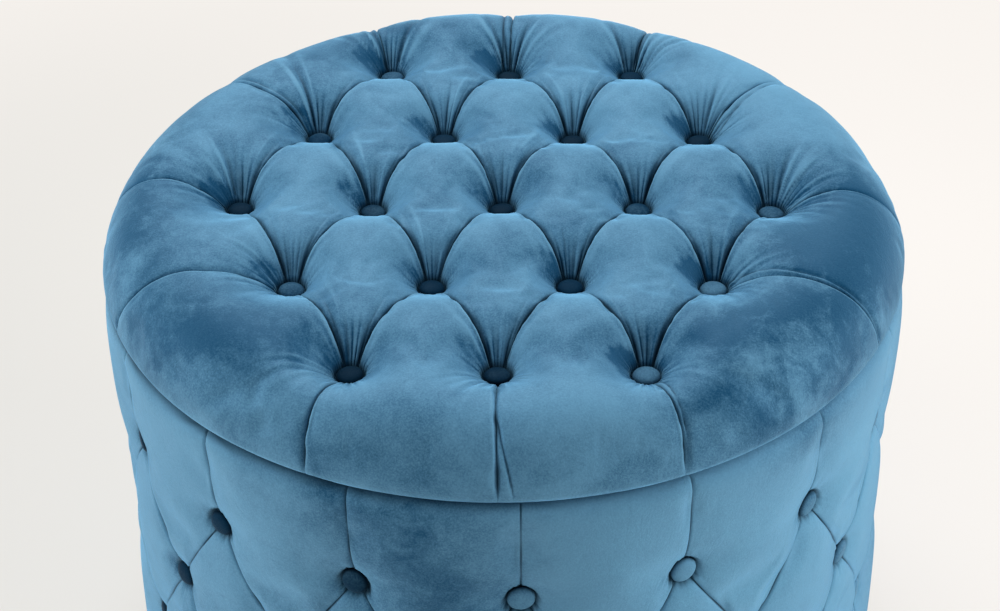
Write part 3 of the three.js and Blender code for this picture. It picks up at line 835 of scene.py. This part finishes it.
# Where the lid's pile is painted darker or lighter in broad patches, partly brushed nap and partly painted shade and
# sheen: place, half widths and strength
LID_NAP_AND_LIGHT_STROKES = (
    (0.265, -0.055, 0.070, 0.065, -0.62),
    (0.190, -0.160, 0.070, 0.045, -0.26),
    (0.200, -0.225, 0.080, 0.050, -0.20),
    (-0.200, -0.185, 0.090, 0.040, -0.26),
    (-0.150, -0.250, 0.100, 0.030, 0.08),
    (-0.290, -0.010, 0.050, 0.110, -0.42),
    (0.060, -0.270, 0.060, 0.045, 0.30),
    (0.220, 0.150, 0.080, 0.070, 0.42),
    (-0.120, 0.250, 0.110, 0.040, -0.12),
    (-0.190, 0.170, 0.070, 0.060, -0.18),
    (0.050, 0.100, 0.060, 0.050, 0.12),
    (-0.100, -0.100, 0.050, 0.050, 0.08),
    (0.100, -0.100, 0.040, 0.060, 0.10),
)


def stroked_nap_and_light(flat, strokes, base):
    # Sums the strokes over the base value: brushed nap, with painted shade and sheen
    nap = np.full(len(flat), base)
    for x, y, wide, high, amount in strokes:
        nap += amount * bell(flat[:, 0], x, wide) * bell(flat[:, 1], y, high)
    return nap


def pulled_nap_and_shade(flat, buttons, seed, heading=2.8, reach=0.021):
    """How far the pile is darkened beside each button, in ragged fingers on one side: pile pulled flat, and painted
    shade on the flank beside the button.
    """
    pulled = np.zeros(len(flat))
    for number, button in enumerate(buttons):
        draw = np.random.RandomState(seed + number % DRUM_BUTTONS)
        middle = heading + draw.uniform(-0.35, 0.35)
        long = reach * draw.uniform(0.5, 1.3)
        ripple = draw.uniform(0, 6.3, 2)
        strength = draw.uniform(0.3, 1.0)
        offset = flat - button
        away = np.hypot(*offset.T)
        near = away < NAP_LIMIT
        turn = wrapped(bearing(offset[near]) - middle)
        side = np.cos(np.clip(1.15 * turn, -math.pi / 2, math.pi / 2)) ** 1.5
        fingers = 0.75 + 0.25 * np.sin(6 * turn + ripple[0] + 300 * away[near]) * np.sin(11 * turn + ripple[1])
        edge = 0.0105 + long * side * fingers
        faded = smoothstep(edge - away[near], -0.0080, 0.0100)
        pulled[near] = np.maximum(pulled[near], strength * faded)
    return pulled


def make_lid_cover(settings):
    tufting, lattice, ends, reach = lid_tufting(settings)
    bm = bmesh.new()
    lid_patches(bm, settings, lattice, ends, reach)

    def place(flat):
        phase, gathered, creases = tufting.fan(flat)
        points, depth, ridge = lid_points(settings, tufting, flat, creases)
        # The nap value: brushed nap with painted shade and sheen from the strokes, painted highlights on ridges, and
        # pile pulled flat with painted shade beside the buttons
        nap = stroked_nap_and_light(flat, LID_NAP_AND_LIGHT_STROKES, LID_NAP) + 0.6 * ridge
        nap -= 0.85 * pulled_nap_and_shade(flat, tufting.buttons, LID_NAP_SEED)
        return turned(points, LID_TURN), {"depth": depth, "nap": nap, "fan": phase, "gathered": gathered}

    def hold(flat):
        hem = smoothstep(np.hypot(*flat.T), reach - 0.020, reach - 0.008)
        return np.maximum(tied_down(tufting, flat), hem)

    shape_cover(bm, "lid_flat", place, hold)
    edge = edge_loop(bm, lambda point: True)
    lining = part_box("lid_lining")[1].x + 0.0005
    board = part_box("lid_board")[1].x + CLOTH
    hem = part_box("lid_board")[0].z - CLEARANCE
    for radius, height in ((lining, LID_LOW), (lining, hem), (board, hem), (board, LID_BOARD_TOP + CLEARANCE)):
        edge = extrude_ring(bm, edge, radius, height)
    bmesh.ops.edgeloop_fill(bm, edges=edge)
    piece = finished_piece(bm, "lid_cover", "lid", "velvet")
    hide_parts("lid_cushion")
    return piece


# The drum's cover


PUCKERS_ROUND = [Fold(30 * i, 10.5, 0.0016, (0.2, 1.0), (0.008, 0.020), 0.009) for i in range(12)]
DRUM_POCKET = 0.0042  # depth of the pocket that a button sits in
SEAM_TO_EDGE = (0.75, 0.35)  # depth of a seam from an outer row to the drum's edge, at its start and end

# Where the drum's pile is painted darker or lighter round its front, partly brushed nap and partly painted sheen
# towards the right: angle from the front, half width and strength
DRUM_NAP_AND_SHEEN_STROKES = ((-0.26, 0.24, -0.10), (0.58, 0.48, 0.54), (1.10, 0.26, 0.35))
DRUM_SIDES = (1.15, 1.6)  # angles between which the front's nap gives way to the back's


def drum_rows(settings):
    return [DRUM_TOP - settings.first_row - row * settings.row_pitch for row in range(3)]


def drum_button(settings, column, row):
    pitch = 2 * math.pi * settings.radius / settings.columns
    return np.array([(column + (0.5 if row == 1 else 0.0)) * pitch, drum_rows(settings)[row]])


def drum_tufting(settings):
    """Buttons, sewn seams and gathers of the drum, repeated a little past its join."""
    tufting = Tufting(settings)
    corner = settings.corner * (math.pi / 2 - 1)
    for column in range(-2, settings.columns + 2):
        top = drum_button(settings, column, 0)
        low = drum_button(settings, column, 2)
        tufting.add_pleat(top, (top[0], DRUM_TOP + corner), *SEAM_TO_EDGE)
        tufting.add_pleat(low, (low[0], DRUM_LOW - corner), *SEAM_TO_EDGE)
        for row in (0, 2):
            for beside in (column, column - 1):
                tufting.add_pleat(drum_button(settings, column, row), drum_button(settings, beside, 1))
        for row in range(3):
            place = drum_button(settings, column, row)
            tufting.buttons.append(place)
            draw = np.random.RandomState(DRUM_SEED + 3 * (column % settings.columns) + row)
            for fold in PUCKERS_ROUND:
                tufting.add_fold(draw, place, 0.0, fold)
    return tufting, corner


def drum_patches(bm, settings, corner):
    """Lays the drum's cover flat, as patches whose edges follow the seams."""
    steps = settings.steps
    for column in range(settings.columns):
        low = [drum_button(settings, column, 2), drum_button(settings, column, 1), drum_button(settings, column - 1, 1)]
        grid_patch(bm, steps, steps, diamond(*low), lambda v: v)
        upper = [drum_button(settings, *key) for key in ((column, 0), (column, 1), (column + 1, 0))]
        lower = [drum_button(settings, *key) for key in ((column + 1, 2), (column, 1), (column, 2))]
        for line, height in ((upper, DRUM_TOP + corner), (lower, DRUM_LOW - corner)):
            ends = np.array([[line[0][0], height], [line[-1][0], height]])

            def edge(u, ends=ends):
                return ends[0] + rim_ease(u)[:, None] * (ends[1] - ends[0])

            grid_patch(bm, 2 * steps, settings.edge_steps, between(line, edge), ease_start)


def drum_points(settings, tufting, flat, creases):
    """The flat-laid drum cover put round the drum, with its painted shade in folds, round its buttons and along its top
    and bottom edges.
    """
    x, y = flat.T
    corner = settings.corner
    turn = np.maximum(0, (y - DRUM_TOP + corner) / corner) + np.maximum(0, (DRUM_LOW + corner - y) / corner)
    edge = settings.radius - corner * (1 - np.cos(turn))
    height = np.where(y > DRUM_TOP - corner, DRUM_TOP - corner * (1 - np.sin(turn)), y)
    height = np.where(y < DRUM_LOW + corner, DRUM_LOW + corner * (1 - np.sin(turn)), height)
    rise = tufting.rise(flat)
    lift = tufting.lift(flat)
    soft, sharp, lip = tufting.grooves(flat)
    folds = tufting.folds(flat)
    fade = 1.0 - smoothstep(turn, 0.3, 1.45)
    pocket = settings.radius - settings.button_depth - 2 * CLEARANCE
    pulled = pocket + DRUM_POCKET * lift
    groove = settings.pleat_depth * soft * (0.3 + 0.7 * rise) + settings.tuck_depth * sharp
    angle = x / settings.radius
    unrolled = np.stack([settings.radius * np.sin(angle), y + settings.radius * np.cos(angle)], 1)
    raised = settings.lip_height * lip * rise + cover_wave(unrolled, settings.unevenness) * rise
    inward = (groove + folds + settings.crease_depth * creases - raised) * lift * fade
    base = np.minimum(edge, pulled + (edge - pulled) * rise)
    radius = edge + (base - edge) * fade - inward
    points = np.stack([radius * np.sin(angle), -radius * np.cos(angle), height], 1)
    # Painted shade in the pits round the buttons, along the seams and in the folds
    painted_pit_shade = 1 - smoothstep(rise, -0.06, 0.26)
    depth = painted_shade(DRUM_PAINTED_SHADE, sharp, painted_pit_shade, folds) * fade
    # Painted shade along the drum's rounded top and bottom edges, darkest towards the left
    painted_corner_shade = smoothstep(turn, 0.25, 1.0) * (0.6 - 0.4 * np.sin(angle + 0.2))
    return points, np.clip(depth + painted_corner_shade, 0, 1)


def drum_nap_and_light(angle, height):
    """How light the drum's pile is, by angle from the front and by height: brushed pile, with painted sheen towards the
    sides and a painted shadow of the lid on the right, just under it.
    """
    # Painted shadow of the lid, on the top of the drum on the right
    painted_lid_shadow = smoothstep(height, DRUM_TOP - 0.060, DRUM_TOP - 0.010) * bell(angle, 0.85, 0.32)
    # The cosine term paints the front darker and the sides lighter: painted shade and sheen
    front = 0.74 - 0.75 * painted_lid_shadow - 0.20 * np.cos(2 * angle)
    for middle, wide, amount in DRUM_NAP_AND_SHEEN_STROKES:
        front += amount * bell(angle, middle, wide)
    rear = 0.66 + 0.16 * np.sin(3 * angle + 1.0)
    nap = front + (rear - front) * smoothstep(np.abs(angle), *DRUM_SIDES)
    return nap + 0.10 * np.sin(7 * angle + 2.0 + 14.0 * height)


def make_drum_cover(settings):
    tufting, corner = drum_tufting(settings)
    bm = bmesh.new()
    drum_patches(bm, settings, corner)

    def place(flat):
        phase, gathered, creases = tufting.fan(flat)
        points, depth = drum_points(settings, tufting, flat, creases)
        # The nap value: brushed nap with painted sheen and a painted lid shadow, less pile pulled flat with painted
        # shade beside the buttons
        nap = drum_nap_and_light(wrapped(flat[:, 0] / settings.radius), flat[:, 1])
        nap -= 0.5 * pulled_nap_and_shade(flat, tufting.buttons, DRUM_NAP_SEED, 3.4, 0.012)
        return points, {"depth": depth, "nap": nap, "fan": phase, "gathered": 0.3 * gathered}

    shape_cover(bm, "side_flat", place, lambda flat: tied_down(tufting, flat))
    middle = (DRUM_TOP + DRUM_LOW) / 2
    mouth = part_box("inner_liner")[1].x - LINER
    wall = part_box("wall_board")[1].x + CLOTH
    ring_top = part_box("top_ring")[1].z + CLEARANCE
    hem_inner = wall - HEM
    board_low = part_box("bottom_board")[0].z - CLEARANCE
    upper = edge_loop(bm, lambda point: point.z > middle)
    lower = edge_loop(bm, lambda point: point.z < middle)
    for radius, height in ((mouth, DRUM_TOP), (mouth, ring_top), (wall, ring_top)):
        upper = extrude_ring(bm, upper, radius, height)
    for radius, height in ((hem_inner, DRUM_LOW), (hem_inner, board_low), (wall, board_low)):
        lower = extrude_ring(bm, lower, radius, height)
    bmesh.ops.bridge_loops(bm, edges=upper + lower)
    piece = finished_piece(bm, "side_cover", "base", "velvet")
    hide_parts("side_cushion")
    return piece


# Covered buttons


# The lid's buttons whose caps are lighter, by number, and how much
LIGHT_CAPS = {3: 0.75, 4: 0.4, 6: 0.2, 7: 0.7, 9: 0.2, 11: 0.3, 12: 0.5, 13: 0.25, 17: 0.4}


def button_profile(radius, height):
    """Half section of a covered button, from its back's middle over the rim to its crown."""
    shares = ((0, 0), (0.8, 0), (0.93, 0.08), (0.99, 0.2), (1, 0.3), (0.985, 0.42), (0.93, 0.6), (0.82, 0.77))
    shares += ((0.66, 0.89), (0.45, 0.965), (0.22, 0.994), (0, 1))
    return [(radius * across, height * up) for across, up in shares]


def make_button(name, radius, height, place, outward, tilt, nap, body, node=None):
    """A domed cap in velvet over a flat back, facing outward, leaning a little on its shank."""
    bm = bmesh.new()
    verts = [bm.verts.new((across, 0.0, up)) for across, up in button_profile(radius, height)]
    edges = [bm.edges.new(pair) for pair in zip(verts, verts[1:])]
    bmesh.ops.spin(
        bm, geom=verts + edges, cent=(0, 0, 0), axis=(0, 0, 1), dvec=(0, 0, 0), angle=2 * math.pi, steps=36,
        use_merge=True, use_normal_flip=False, use_duplicate=False,
    )
    bmesh.ops.remove_doubles(bm, verts=bm.verts, dist=1e-6)
    tone_and_shade_layer = bm.verts.layers.float.new("depth")
    nap_layer = bm.verts.layers.float.new("nap")
    for vert in bm.verts:
        # The depth attribute paints the caps darker: all over where their value is low, and painted shade towards the
        # back rim, where each cap sits in its pocket
        vert[tone_and_shade_layer] = 0.62 - 0.7 * nap + 0.75 * max(0.0, 1.0 - vert.co.z / (0.8 * height))
        vert[nap_layer] = nap
        angle = math.atan2(vert.co.y, vert.co.x)
        rim = math.exp(-(((vert.co.z / height) - 0.3) / 0.25) ** 2)
        pleats = math.sin(11 * angle + 40 * tilt[1]) * math.sin(4 * angle + 90 * tilt[0])
        vert.co.xy *= 1.0 - 0.02 * rim * (1.0 + pleats)
    lean = Matrix.Rotation(tilt[0], 4, "X") @ Matrix.Rotation(tilt[1], 4, "Y")
    facing = Vector(outward).to_track_quat("Z", "Y").to_matrix().to_4x4()
    bmesh.ops.transform(bm, verts=bm.verts, matrix=Matrix.Translation(place) @ facing @ lean)
    piece = finished_piece(bm, name, body, "velvet", "velvet_caps")
    if node:
        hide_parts(node)
    return piece


# Studio


SENSOR_WIDTH = 36.0
FLOOR_RADIUS = 12.0
SKY = (0.93, 0.97, 1.0, 1.0)
WINDOW_LIGHT = (1.0, 0.99, 0.97)


def make_studio(settings):
    camera = bpy.data.cameras.new("camera")
    camera.lens = settings.focal_length
    camera.sensor_width = SENSOR_WIDTH
    camera.shift_x = settings.shift_x
    camera.shift_y = settings.shift_y
    target = Vector((0.0, 0.0, BUTTON_FACE - 0.001))
    azimuth, rise = settings.azimuth, settings.rise
    back = Vector((math.sin(azimuth) * math.cos(rise), -math.cos(azimuth) * math.cos(rise), math.sin(rise)))
    holder = linked("camera", camera)
    turn = (-back).to_track_quat("-Z", "Y").to_matrix().to_4x4() @ Matrix.Rotation(settings.roll, 4, "Z")
    holder.matrix_world = Matrix.Translation(target + back * settings.distance) @ turn
    bpy.context.scene.camera = holder


def area_light(name, place, target, size, power, color):
    light = bpy.data.lights.new(name, "AREA")
    light.shape = "DISK"
    light.size = size
    light.energy = power
    light.color = color
    holder = linked(name, light)
    aim = (Vector(target) - Vector(place)).to_track_quat("-Z", "Y")
    holder.matrix_world = Matrix.Translation(place) @ aim.to_matrix().to_4x4()


def floor_material(color):
    """A pale floor that keeps the object's shadow near it and fades into a background with painted shade towards the
    left and a painted brightening near the object.
    """
    shader = Shader("floor")
    place = shader.place()
    away = shader.add("ShaderNodeVectorMath", {"operation": "LENGTH"}, [place], "Value")
    far = 0.72 + 0.28 * shader.step(away, 0.45, 1.5)
    rays = ("Is Camera Ray", "Is Glossy Ray", "Is Transmission Ray")
    seen = sum(shader.add("ShaderNodeLightPath", output=ray) for ray in rays)
    across = shader.add("ShaderNodeSeparateXYZ", {}, [place])
    # Painted shade: the background is painted darker towards the left, near the object
    painted_backdrop_shade = (color[0] * 0.73, color[1] * 0.76, color[2] * 0.76)
    bright = shader.step(across, -0.9, 0.6)
    bright = bright + (1.0 - bright) * 0.9 * shader.step(away, 0.6, 1.45)
    shader.finish(base_color=opaque(color), roughness=0.8, specular_ior_level=0.1)
    # Painted light: the background glows a little stronger near the object
    strength = 1.03 - 0.03 * shader.step(away, 0.5, 1.0)
    glow = {"Color": shader.mix(bright, opaque(painted_backdrop_shade), opaque(color)), "Strength": strength}
    glow = shader.add("ShaderNodeEmission", {}, glow)
    lit = Value(shader, shader.surface.outputs[0])
    mixed = shader.add("ShaderNodeMixShader", {}, [seen * far, lit, glow])
    output = shader.tree.nodes["Material Output"]
    shader.tree.links.new(mixed.socket, output.inputs["Surface"])
    return shader.material


def make_stage(settings):
    bm = bmesh.new()
    bmesh.ops.create_circle(bm, cap_ends=True, radius=FLOOR_RADIUS, segments=96)
    mesh = bpy.data.meshes.new("floor")
    bm.to_mesh(mesh)
    bm.free()
    floor = linked("floor", mesh)
    mesh.materials.append(floor_material(settings.backdrop))
    world = bpy.data.worlds.new("studio")
    world.use_nodes = True
    background = world.node_tree.nodes["Background"]
    background.inputs["Color"].default_value = SKY
    background.inputs["Strength"].default_value = settings.ambient
    bpy.context.scene.world = world
    low, high = (0, 0, 0.28), (0, 0, 0.35)
    area_light("left_window", (-2.4, -0.2, 1.3), low, 1.5, settings.left_power, WINDOW_LIGHT)
    area_light("right_window", (2.4, -0.5, 1.15), low, 1.5, settings.right_power, WINDOW_LIGHT)
    area_light("ceiling", (-0.3, 1.6, 2.3), high, 2.0, settings.top_power, (1.0, 1.0, 1.0))


# Settings that a user would change


def number(name, description, default, **more):
    return bpy.props.FloatProperty(name=name, description=description, default=default, **more)


def length(name, description, default):
    return number(name, description, default, unit="LENGTH", precision=4)


def share(name, description, default):
    return number(name, description, default, min=0.0, max=4.0)


def angle(name, description, degrees):
    return number(name, description, math.radians(degrees), subtype="ANGLE")


def count(name, description, default):
    return bpy.props.IntProperty(name=name, description=description, default=default, min=2, max=200)


def color(name, description, default):
    limits = {"size": 3, "subtype": "COLOR"}
    return bpy.props.FloatVectorProperty(name=name, description=description, default=default, **limits)


class TuffetLidSettings(bpy.types.PropertyGroup):
    radius: length("Radius", "Radius of the lid over its cover", 0.300)
    pitch: length("Button pitch", "Distance between buttons of a row, and between rows", 0.100)
    foam: length("Foam", "Height of the cushion above its board", 0.0425)
    dome: length("Dome", "Extra height of the cushion in its middle", 0.004)
    shoulder: length("Shoulder", "Width of the rounded rim", 0.058)
    tuck: length("Tuck", "Radius of the cover's bottom edge", 0.007)
    button_radius: length("Button radius", "Radius of a covered button", 0.010)
    pit_reach: length("Pit reach", "How far from a button the cover takes to come back up", 0.0165)
    front_reach: share("Front reach", "How much further it takes in front of a button", 0.75)
    pit_power: share("Pit power", "How round the pit's lip is", 1.12)
    pleat_depth: length("Pleat depth", "Depth of the soft groove over a pleat", 0.0050)
    pleat_reach: length("Pleat reach", "Half width of the soft groove", 0.0085)
    tuck_depth: length("Tuck depth", "Depth of the sharp tuck along a pleat", 0.0050)
    tuck_reach: length("Tuck reach", "Half width of the sharp tuck", 0.0009)
    lip_height: length("Lip height", "Height of the rolled lip in front of a pleat", 0.0011)
    lip_reach: length("Lip reach", "Distance of the lip from its pleat", 0.0026)
    crease_depth: length("Crease depth", "Depth of the fine creases behind a button", 0.0016)
    button_sink: length("Button sink", "How far the cover round a button lies below its face", 0.0010)
    rim_share: share("Rim share", "Depth of a pleat where it runs out at the rim", 0.22)
    unevenness: length("Unevenness", "Height of the padding's slow waves", 0.0012)
    steps: count("Steps", "Mesh steps along a pleat, before each is halved", 38)
    rim_steps: count("Rim steps", "Mesh steps from the outer buttons to the rim, before each is halved", 42)


class TuffetDrumSettings(bpy.types.PropertyGroup):
    radius: length("Radius", "Radius of the drum over its cover", 0.300)
    corner: length("Corner", "Rounding of the drum's top and bottom edges", 0.013)
    columns: count("Columns", "Buttons in a row round the drum", 16)
    first_row: length("First row", "Distance of the top row of buttons below the drum's top", 0.088)
    row_pitch: length("Row pitch", "Distance between rows of buttons", 0.087)
    button_radius: length("Button radius", "Radius of a covered button", 0.010)
    button_depth: length("Button depth", "How far the buttons sink into the padding", 0.011)
    pit_reach: length("Pit reach", "How far from a button the cover takes to come back out", 0.0145)
    front_reach: share("Low reach", "How much further it takes below a button", 0.3)
    pit_power: share("Pit power", "How round the pit's lip is", 1.05)
    pleat_depth: length("Seam depth", "Depth of the soft groove over a seam", 0.0034)
    pleat_reach: length("Seam reach", "Half width of the soft groove", 0.011)
    tuck_depth: length("Stitch depth", "Depth of the sharp line of a seam", 0.0014)
    tuck_reach: length("Stitch reach", "Half width of the sharp line", 0.0006)
    lip_height: length("Lip height", "Height of the lip beside a seam", 0.0004)
    lip_reach: length("Lip reach", "Distance of the lip from its seam", 0.0020)
    crease_depth: length("Crease depth", "Depth of the fine creases round a button", 0.0006)
    unevenness: length("Unevenness", "Height of the padding's slow waves", 0.0012)
    steps: count("Steps", "Mesh steps along a seam, before each is halved", 14)
    edge_steps: count("Edge steps", "Mesh steps from the outer rows to the drum's edges, before each is halved", 17)


class TuffetPaddingSettings(bpy.types.PropertyGroup):
    pressure: number("Pressure", "How hard the padding swells the covers", 6.0)
    slack: share("Slack", "How much more cover there is than its padding needs", 0.010)
    bending: share("Bending", "Stiffness of the velvet and its backing against bending", 0.8)
    most: length("Most", "Most that the padding moves a point of a cover", 0.006)
    frames: count("Frames", "Steps of the simulation", 14)


class TuffetVelvetSettings(bpy.types.PropertyGroup):
    light_nap: color("Light nap", "Colour of the pile where it stands up", (0.116, 0.282, 0.434))
    dark_nap: color("Dark nap", "Colour of the pile where it is brushed flat", (0.003, 0.054, 0.130))
    # Colour of the pile's tips, also used as a painted highlight where the pile is painted lightest
    tips: color("Tips", "Colour of the tips of the pile", (0.170, 0.420, 0.610))
    # Painted shade: colour painted deep in folds, tucks and pits, where shade falls
    fold: color("Fold", "Colour deep in the folds", (0.0018, 0.009, 0.018))
    shine_tint: color("Shine tint", "Colour of the pile's shine", (0.10, 0.50, 0.90))
    sheen: share("Sheen", "Strength of the pile's sheen", 1.0)
    sheen_spread: share("Sheen spread", "Roughness of the pile's sheen", 0.4)
    sheen_tint: color("Sheen tint", "Colour of the pile's sheen", (0.27, 0.66, 1.0))


class TuffetStudioSettings(bpy.types.PropertyGroup):
    focal_length: number("Focal length", "Camera lens, in millimetres", 76.69)
    distance: length("Distance", "Camera's distance from the lid's middle", 1.606)
    azimuth: angle("Azimuth", "Camera's turn", -1.8)
    rise: angle("Elevation", "Camera's elevation", 33.49)
    roll: angle("Roll", "Camera's roll", -0.68)
    shift_x: number("Shift X", "Lens shift across", -0.00275, precision=5)
    shift_y: number("Shift Y", "Lens shift up", -0.0951, precision=5)
    backdrop: color("Backdrop", "Colour of the floor and background", (0.945, 0.905, 0.865))
    ambient: share("Ambient", "Strength of the light from all round", 0.32)
    left_power: number("Left window", "Power of the left light, in watts", 38.0)
    right_power: number("Right window", "Power of the right light, in watts", 43.0)
    top_power: number("Ceiling", "Power of the top light, in watts", 38.0)


# Operators


class TUFFET_OT_materials(bpy.types.Operator):
    """Makes the velvet, plywood, lining, plastic and steel"""

    bl_idname = "tuffet.materials"
    bl_label = "Materials"

    def execute(self, context):
        velvet_material(context.scene.tuffet_velvet)
        # The caps get a copy of the velvet with its sheen and shine cut to 0.12: a shaded copy that keeps them dark
        velvet_material(context.scene.tuffet_velvet, "finish_velvet_caps", 0.12)
        for make in (plywood_material, lining_material, plastic_material, steel_material):
            make()
        return {"FINISHED"}


class TUFFET_OT_frame_finishes(bpy.types.Operator):
    """Gives the frame, linings, feet and screws their finishes"""

    bl_idname = "tuffet.frame_finishes"
    bl_label = "Frame finishes"

    def execute(self, context):
        for row in frame["record"]["subparts"]:
            node = frame["nodes"][row["node"]]
            node.data.materials.clear()
            node.data.materials.append(bpy.data.materials[f"finish_{row['material_slot']}"])
        return {"FINISHED"}


class TUFFET_OT_lid_cover(bpy.types.Operator):
    """Makes the lid's deep-buttoned cover"""

    bl_idname = "tuffet.lid_cover"
    bl_label = "Lid cover"

    def execute(self, context):
        make_lid_cover(context.scene.tuffet_lid)
        return {"FINISHED"}


class TUFFET_OT_side_cover(bpy.types.Operator):
    """Makes the drum's buttoned cover"""

    bl_idname = "tuffet.side_cover"
    bl_label = "Side cover"

    def execute(self, context):
        make_drum_cover(context.scene.tuffet_drum)
        return {"FINISHED"}


class TUFFET_OT_buttons(bpy.types.Operator):
    """Makes the covered buttons of the lid and the drum"""

    bl_idname = "tuffet.buttons"
    bl_label = "Buttons"

    def execute(self, context):
        lid, drum = context.scene.tuffet_lid, context.scene.tuffet_drum
        draw = np.random.RandomState(BUTTON_SEED)
        height = BUTTON_FACE - BUTTON_BACK
        for i, place in enumerate(lid_lattice(lid.pitch).values(), start=1):
            place = place + wander(place[None], lid.pitch)[0]
            seat = turned(np.array([[*place, BUTTON_BACK]]), LID_TURN)[0]
            tilt = draw.uniform(-0.07, 0.07, 2)
            nap = LIGHT_CAPS.get(i, 0.0) + draw.uniform(-0.1, 0.1)
            name = f"lid_cap_{i}"
            make_button(name, lid.button_radius, height, seat, (0, 0, 1), tilt, nap, "lid", f"lid_button_{i}")
        for row in range(3):
            for column in range(drum.columns):
                x, z = drum_button(drum, column, row)
                out = np.array([math.sin(x / drum.radius), -math.cos(x / drum.radius), 0.0])
                seat = out * (drum.radius - drum.button_depth + CLEARANCE) + np.array([0, 0, z])
                tilt = draw.uniform(-0.12, 0.12, 2)
                # Drum caps are lighter towards the drum's right side and darker towards its left
                nap = 0.32 + 0.36 * math.tanh(5 * math.sin(x / drum.radius + 0.2)) + draw.uniform(-0.12, 0.12)
                node = f"side_button_{column + 1}" if row == 0 else None
                name = f"side_cap_{row * drum.columns + column + 1}"
                make_button(name, drum.button_radius, height, seat, out, tilt, nap, "base", node)
        return {"FINISHED"}


class TUFFET_OT_stage(bpy.types.Operator):
    """Sets up the floor, the lights and the camera"""

    bl_idname = "tuffet.stage"
    bl_label = "Stage"

    def execute(self, context):
        make_studio(context.scene.tuffet_studio)
        make_stage(context.scene.tuffet_studio)
        return {"FINISHED"}


class TUFFET_PT_panel(bpy.types.Panel):
    """Lists the tuffet's sizes and steps"""

    bl_idname = "TUFFET_PT_panel"
    bl_label = "Tuffet"
    bl_space_type = "VIEW_3D"
    bl_region_type = "UI"
    bl_category = "Tuffet"

    def draw(self, context):
        layout = self.layout
        for operator in OPERATORS:
            layout.operator(operator.bl_idname)
        for name, group in SETTINGS.items():
            box = layout.box()
            settings = getattr(context.scene, name)
            for key in group.__annotations__:
                box.prop(settings, key)


SETTINGS = {
    "tuffet_lid": TuffetLidSettings,
    "tuffet_drum": TuffetDrumSettings,
    "tuffet_padding": TuffetPaddingSettings,
    "tuffet_velvet": TuffetVelvetSettings,
    "tuffet_studio": TuffetStudioSettings,
}
OPERATORS = (
    TUFFET_OT_materials,
    TUFFET_OT_frame_finishes,
    TUFFET_OT_lid_cover,
    TUFFET_OT_side_cover,
    TUFFET_OT_buttons,
    TUFFET_OT_stage,
)
CLASSES = (*SETTINGS.values(), *OPERATORS, TUFFET_PT_panel)


def register():
    for cls in CLASSES:
        bpy.utils.register_class(cls)
    for name, group in SETTINGS.items():
        setattr(bpy.types.Scene, name, bpy.props.PointerProperty(type=group))


def unregister():
    for name in SETTINGS:
        delattr(bpy.types.Scene, name)
    for cls in reversed(CLASSES):
        bpy.utils.unregister_class(cls)


def main():
    register()
    bpy.context.scene.view_settings.view_transform = "Standard"
    bpy.ops.tuffet.materials()
    bpy.ops.tuffet.frame_finishes()
    bpy.ops.tuffet.lid_cover()
    bpy.ops.tuffet.side_cover()
    bpy.ops.tuffet.buttons()
    bpy.ops.tuffet.stage()
    bpy.context.view_layer.update()


if __name__ == "__main__":
    main()
